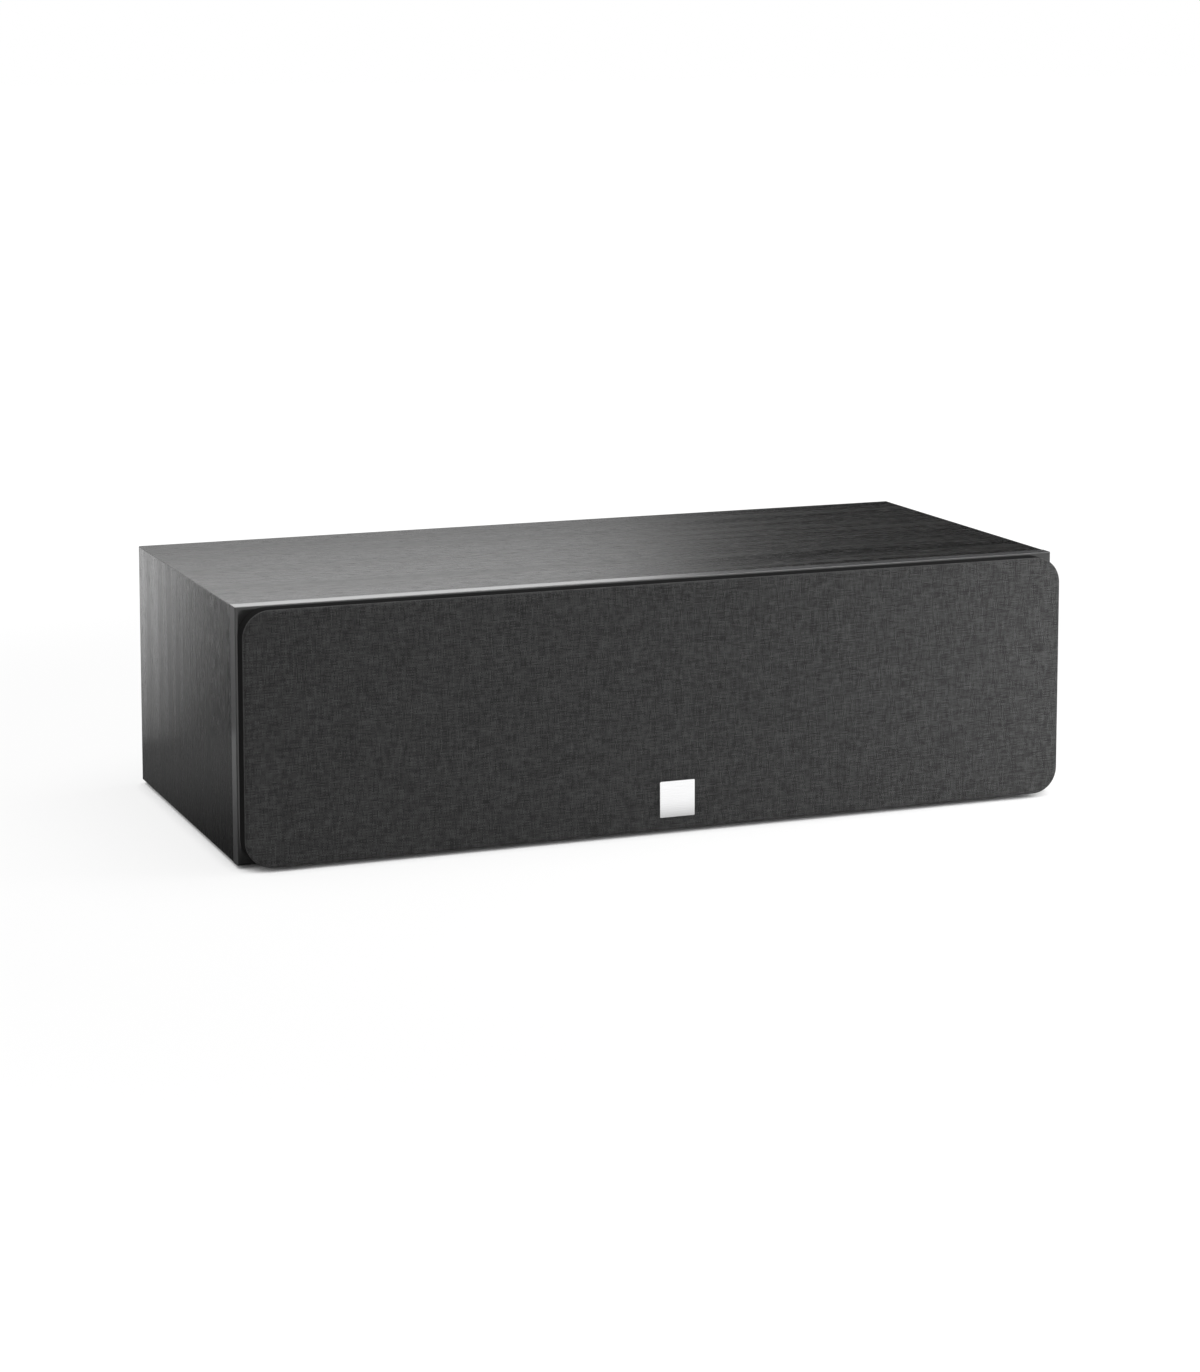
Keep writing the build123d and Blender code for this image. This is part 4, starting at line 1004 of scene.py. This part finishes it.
class SPEAKER_OT_stage(bpy.types.Operator):
    """Set the pale floor, the soft lights, the room and the camera"""

    bl_idname = "speaker.stage"
    bl_label = "Stage"

    def execute(self, context):
        look = context.scene.speaker_stage
        self.floor(look)
        self.room(context.scene, look)
        self.card("Side card", (-0.50, -0.28), (0.0, 0.25), base=0.5, rise=11.0, cover=1.0)
        self.card("Rear flag", (-0.4, 0.5), (0.15, 0.32), base=0.0, rise=0.0, cover=0.5)
        top = self.softbox(
            "Top softbox", place=(0.3, -0.25, 2.0), target=(0.2, -0.1, 0.1),
            size=(2.0, 1.0), power=look.top_power)
        side = self.softbox(
            "Side softbox", place=(0.56, -0.36, 0.2), target=(0.25, -0.12, 0.08),
            size=(0.3, 0.3), power=look.side_power)
        top.visible_glossy = side.visible_glossy = False
        self.camera(context.scene, look)
        context.scene.view_settings.view_transform = "Standard"
        return {"FINISHED"}

    def floor(self, look):
        """A wide pale floor: white where it is seen, with the shadow of what stands on it.

        Its glow hides part of the shadow, all of it far away and none close under the object. In
        reflections the floor has its own level in front of the object, beside it and behind it:
        dark close to the object, a painted shadow, and bright farther off.
        """
        material, nodes = new_material("floor_white")
        x, y, z = nodes.place()
        seen, mirrored = nodes.rays()
        away = (x * x + y * y).root().ramp(0.5, 1.3)
        cover = nodes.add("ShaderNodeAmbientOcclusion", {"samples": 4}, {"Distance": 0.02})
        uncovered = Value(nodes, cover.outputs["AO"]).ramp(0.15, 0.45)
        # Levels of the floor in reflections only: low near the object as its painted shadow, high
        # far away.
        beside = y.ramp(-0.1, 0.25, 0.02, 0.2)
        behind = y.ramp(0.6, 1.6, 0.0, 1.4)
        in_front = y.ramp(-0.215, -0.135, 1.15, 0.0)
        level = 1.1 * seen + (beside + behind + in_front) * mirrored
        paint = nodes.mix(nodes.lumps(2.0), (0.80, 0.80, 0.80, 1.0), (0.82, 0.82, 0.82, 1.0))
        matte = nodes.add("ShaderNodeBsdfDiffuse", None, {"Color": paint})
        glow = nodes.add("ShaderNodeEmission", None, {"Color": nodes.grey(level)})
        white = look.white_share + (1.0 - look.white_share) * away
        nodes.layered(seen * uncovered * white + 0.95 * mirrored, matte, glow)
        reach = 20.0
        corners = [(-reach, -reach, 0), (reach, -reach, 0), (reach, reach, 0), (-reach, reach, 0)]
        self.plane("Floor", corners, material)

    def plane(self, name, corners, material):
        """A flat piece of the stage between four corners."""
        mesh = bpy.data.meshes.new(name)
        mesh.from_pydata(corners, [], [(0, 1, 2, 3)])
        mesh.materials.append(material)
        plane = bpy.data.objects.new(name, mesh)
        bpy.context.scene.collection.objects.link(plane)
        return plane

    def room(self, scene, look):
        """White behind the object, and an even soft light around it.

        Reflections see a pale wall behind to the left, a dark one to the right, a ceiling behind,
        and a room in front that grows brighter to the right.
        """
        scene.world = scene.world or bpy.data.worlds.new("Room")
        scene.world.use_nodes = True
        nodes = Nodes(scene.world.node_tree)
        seen, mirrored = nodes.rays()
        x, y, z = nodes.split(nodes.add("ShaderNodeTexCoord").outputs["Generated"])
        behind = y.ramp(-0.1, 0.2)
        to_left = (x - 0.415 * y).ramp(-0.02, 0.02, 1.0, 0.0)
        height = z.ramp(0.02, 0.26, x.ramp(-0.1, 0.2, 1.0, 0.25), 1.0) * z.ramp(0.45, 0.8, 1.0, 0.3)
        wall = look.panel_level * height * behind * to_left
        overhead = y.ramp(0.15, 0.35) * z.ramp(0.7, 0.85)
        ceiling = look.ceiling_level * overhead * x.ramp(0.3, 0.55, 1.0, 0.65)
        front = (1.0 - behind) * x.ramp(-0.3, 0.5, 0.2, 1.0)
        unseen = mirrored * (wall + ceiling + front) + (1.0 - mirrored) * look.room_level
        level = seen + (1.0 - seen) * unseen
        background = nodes.add("ShaderNodeBackground", None, {"Color": nodes.grey(level)})
        nodes.add("ShaderNodeOutputWorld", None, {"Surface": background.outputs[0]})

    def card(self, name, x_span, z_span, base, rise, cover):
        """An upright card behind the object, which only reflections see.

        Its light is a base plus the rise times the height, and comes in towards its right edge. It
        covers what is behind it by a share that goes to nothing near its top.
        """
        material, nodes = new_material(name)
        x, y, z = nodes.place()
        (left, right), (foot, top) = x_span, z_span
        bright = (base + rise * z) * x.ramp(right - 0.10, right - 0.02)
        glow = nodes.add("ShaderNodeEmission", None, {"Color": nodes.grey(bright)})
        clear = nodes.add("ShaderNodeBsdfTransparent")
        nodes.layered(cover * z.ramp(top - 0.15, top - 0.05, 1.0, 0.0), clear, glow)
        outline = ((left, foot), (right, foot), (right, top), (left, top))
        card = self.plane(name, [(across, CARD_Y, up) for across, up in outline], material)
        card.visible_camera = card.visible_diffuse = card.visible_shadow = False

    def softbox(self, name, place, target, size, power):
        """A rectangular area light that points at a target."""
        light = bpy.data.lights.new(name, "AREA")
        light.shape = "RECTANGLE"
        light.size, light.size_y = size
        light.energy = power
        box = bpy.data.objects.new(name, light)
        box.location = place
        box.rotation_euler = (Vector(target) - Vector(place)).to_track_quat("-Z", "Y").to_euler()
        box.visible_camera = False
        bpy.context.scene.collection.objects.link(box)
        return box

    def camera(self, scene, look):
        """The photo's view: turned to the right, dipped, and with a shifted lens."""
        camera = bpy.data.cameras.new("Camera")
        camera.lens = look.lens
        camera.shift_y = look.lens_shift
        holder = bpy.data.objects.new("Camera", camera)
        holder.location = look.camera_place
        holder.rotation_euler = (math.pi / 2 - look.camera_dip, 0.0, -look.camera_turn)
        scene.collection.objects.link(holder)
        scene.camera = holder


class SPEAKER_PT_pieces(bpy.types.Panel):
    """Pieces of the loudspeaker"""

    bl_idname = "SPEAKER_PT_pieces"
    bl_label = "Centre Channel Speaker"
    bl_space_type = "VIEW_3D"
    bl_region_type = "UI"
    bl_category = "Speaker"

    def draw(self, context):
        for operator in OPERATORS:
            self.layout.operator(operator.bl_idname)


OPERATORS = (
    SPEAKER_OT_cabinet,
    SPEAKER_OT_grille,
    SPEAKER_OT_grille_cloth,
    SPEAKER_OT_woofers,
    SPEAKER_OT_tweeter,
    SPEAKER_OT_terminals,
    SPEAKER_OT_crossover,
    SPEAKER_OT_wadding,
    SPEAKER_OT_stage,
)

SETTINGS = {
    "speaker_cabinet": CabinetSettings,
    "speaker_grille": GrilleSettings,
    "speaker_woofers": WooferSettings,
    "speaker_tweeter": TweeterSettings,
    "speaker_terminals": TerminalSettings,
    "speaker_crossover": CrossoverSettings,
    "speaker_wadding": WaddingSettings,
    "speaker_stage": StageSettings,
}


def register():
    for kind in (*SETTINGS.values(), *OPERATORS, SPEAKER_PT_pieces):
        bpy.utils.register_class(kind)
    for name, kind in SETTINGS.items():
        setattr(bpy.types.Scene, name, PointerProperty(type=kind))


def unregister():
    for name in SETTINGS:
        delattr(bpy.types.Scene, name)
    for kind in reversed((*SETTINGS.values(), *OPERATORS, SPEAKER_PT_pieces)):
        bpy.utils.unregister_class(kind)


def main():
    register()
    bpy.ops.speaker.cabinet()
    bpy.ops.speaker.grille()
    bpy.ops.speaker.grille_cloth()
    bpy.ops.speaker.woofers()
    bpy.ops.speaker.tweeter()
    bpy.ops.speaker.terminals()
    bpy.ops.speaker.crossover()
    bpy.ops.speaker.wadding()
    bpy.ops.speaker.stage()


if __name__ == "__main__":
    main()
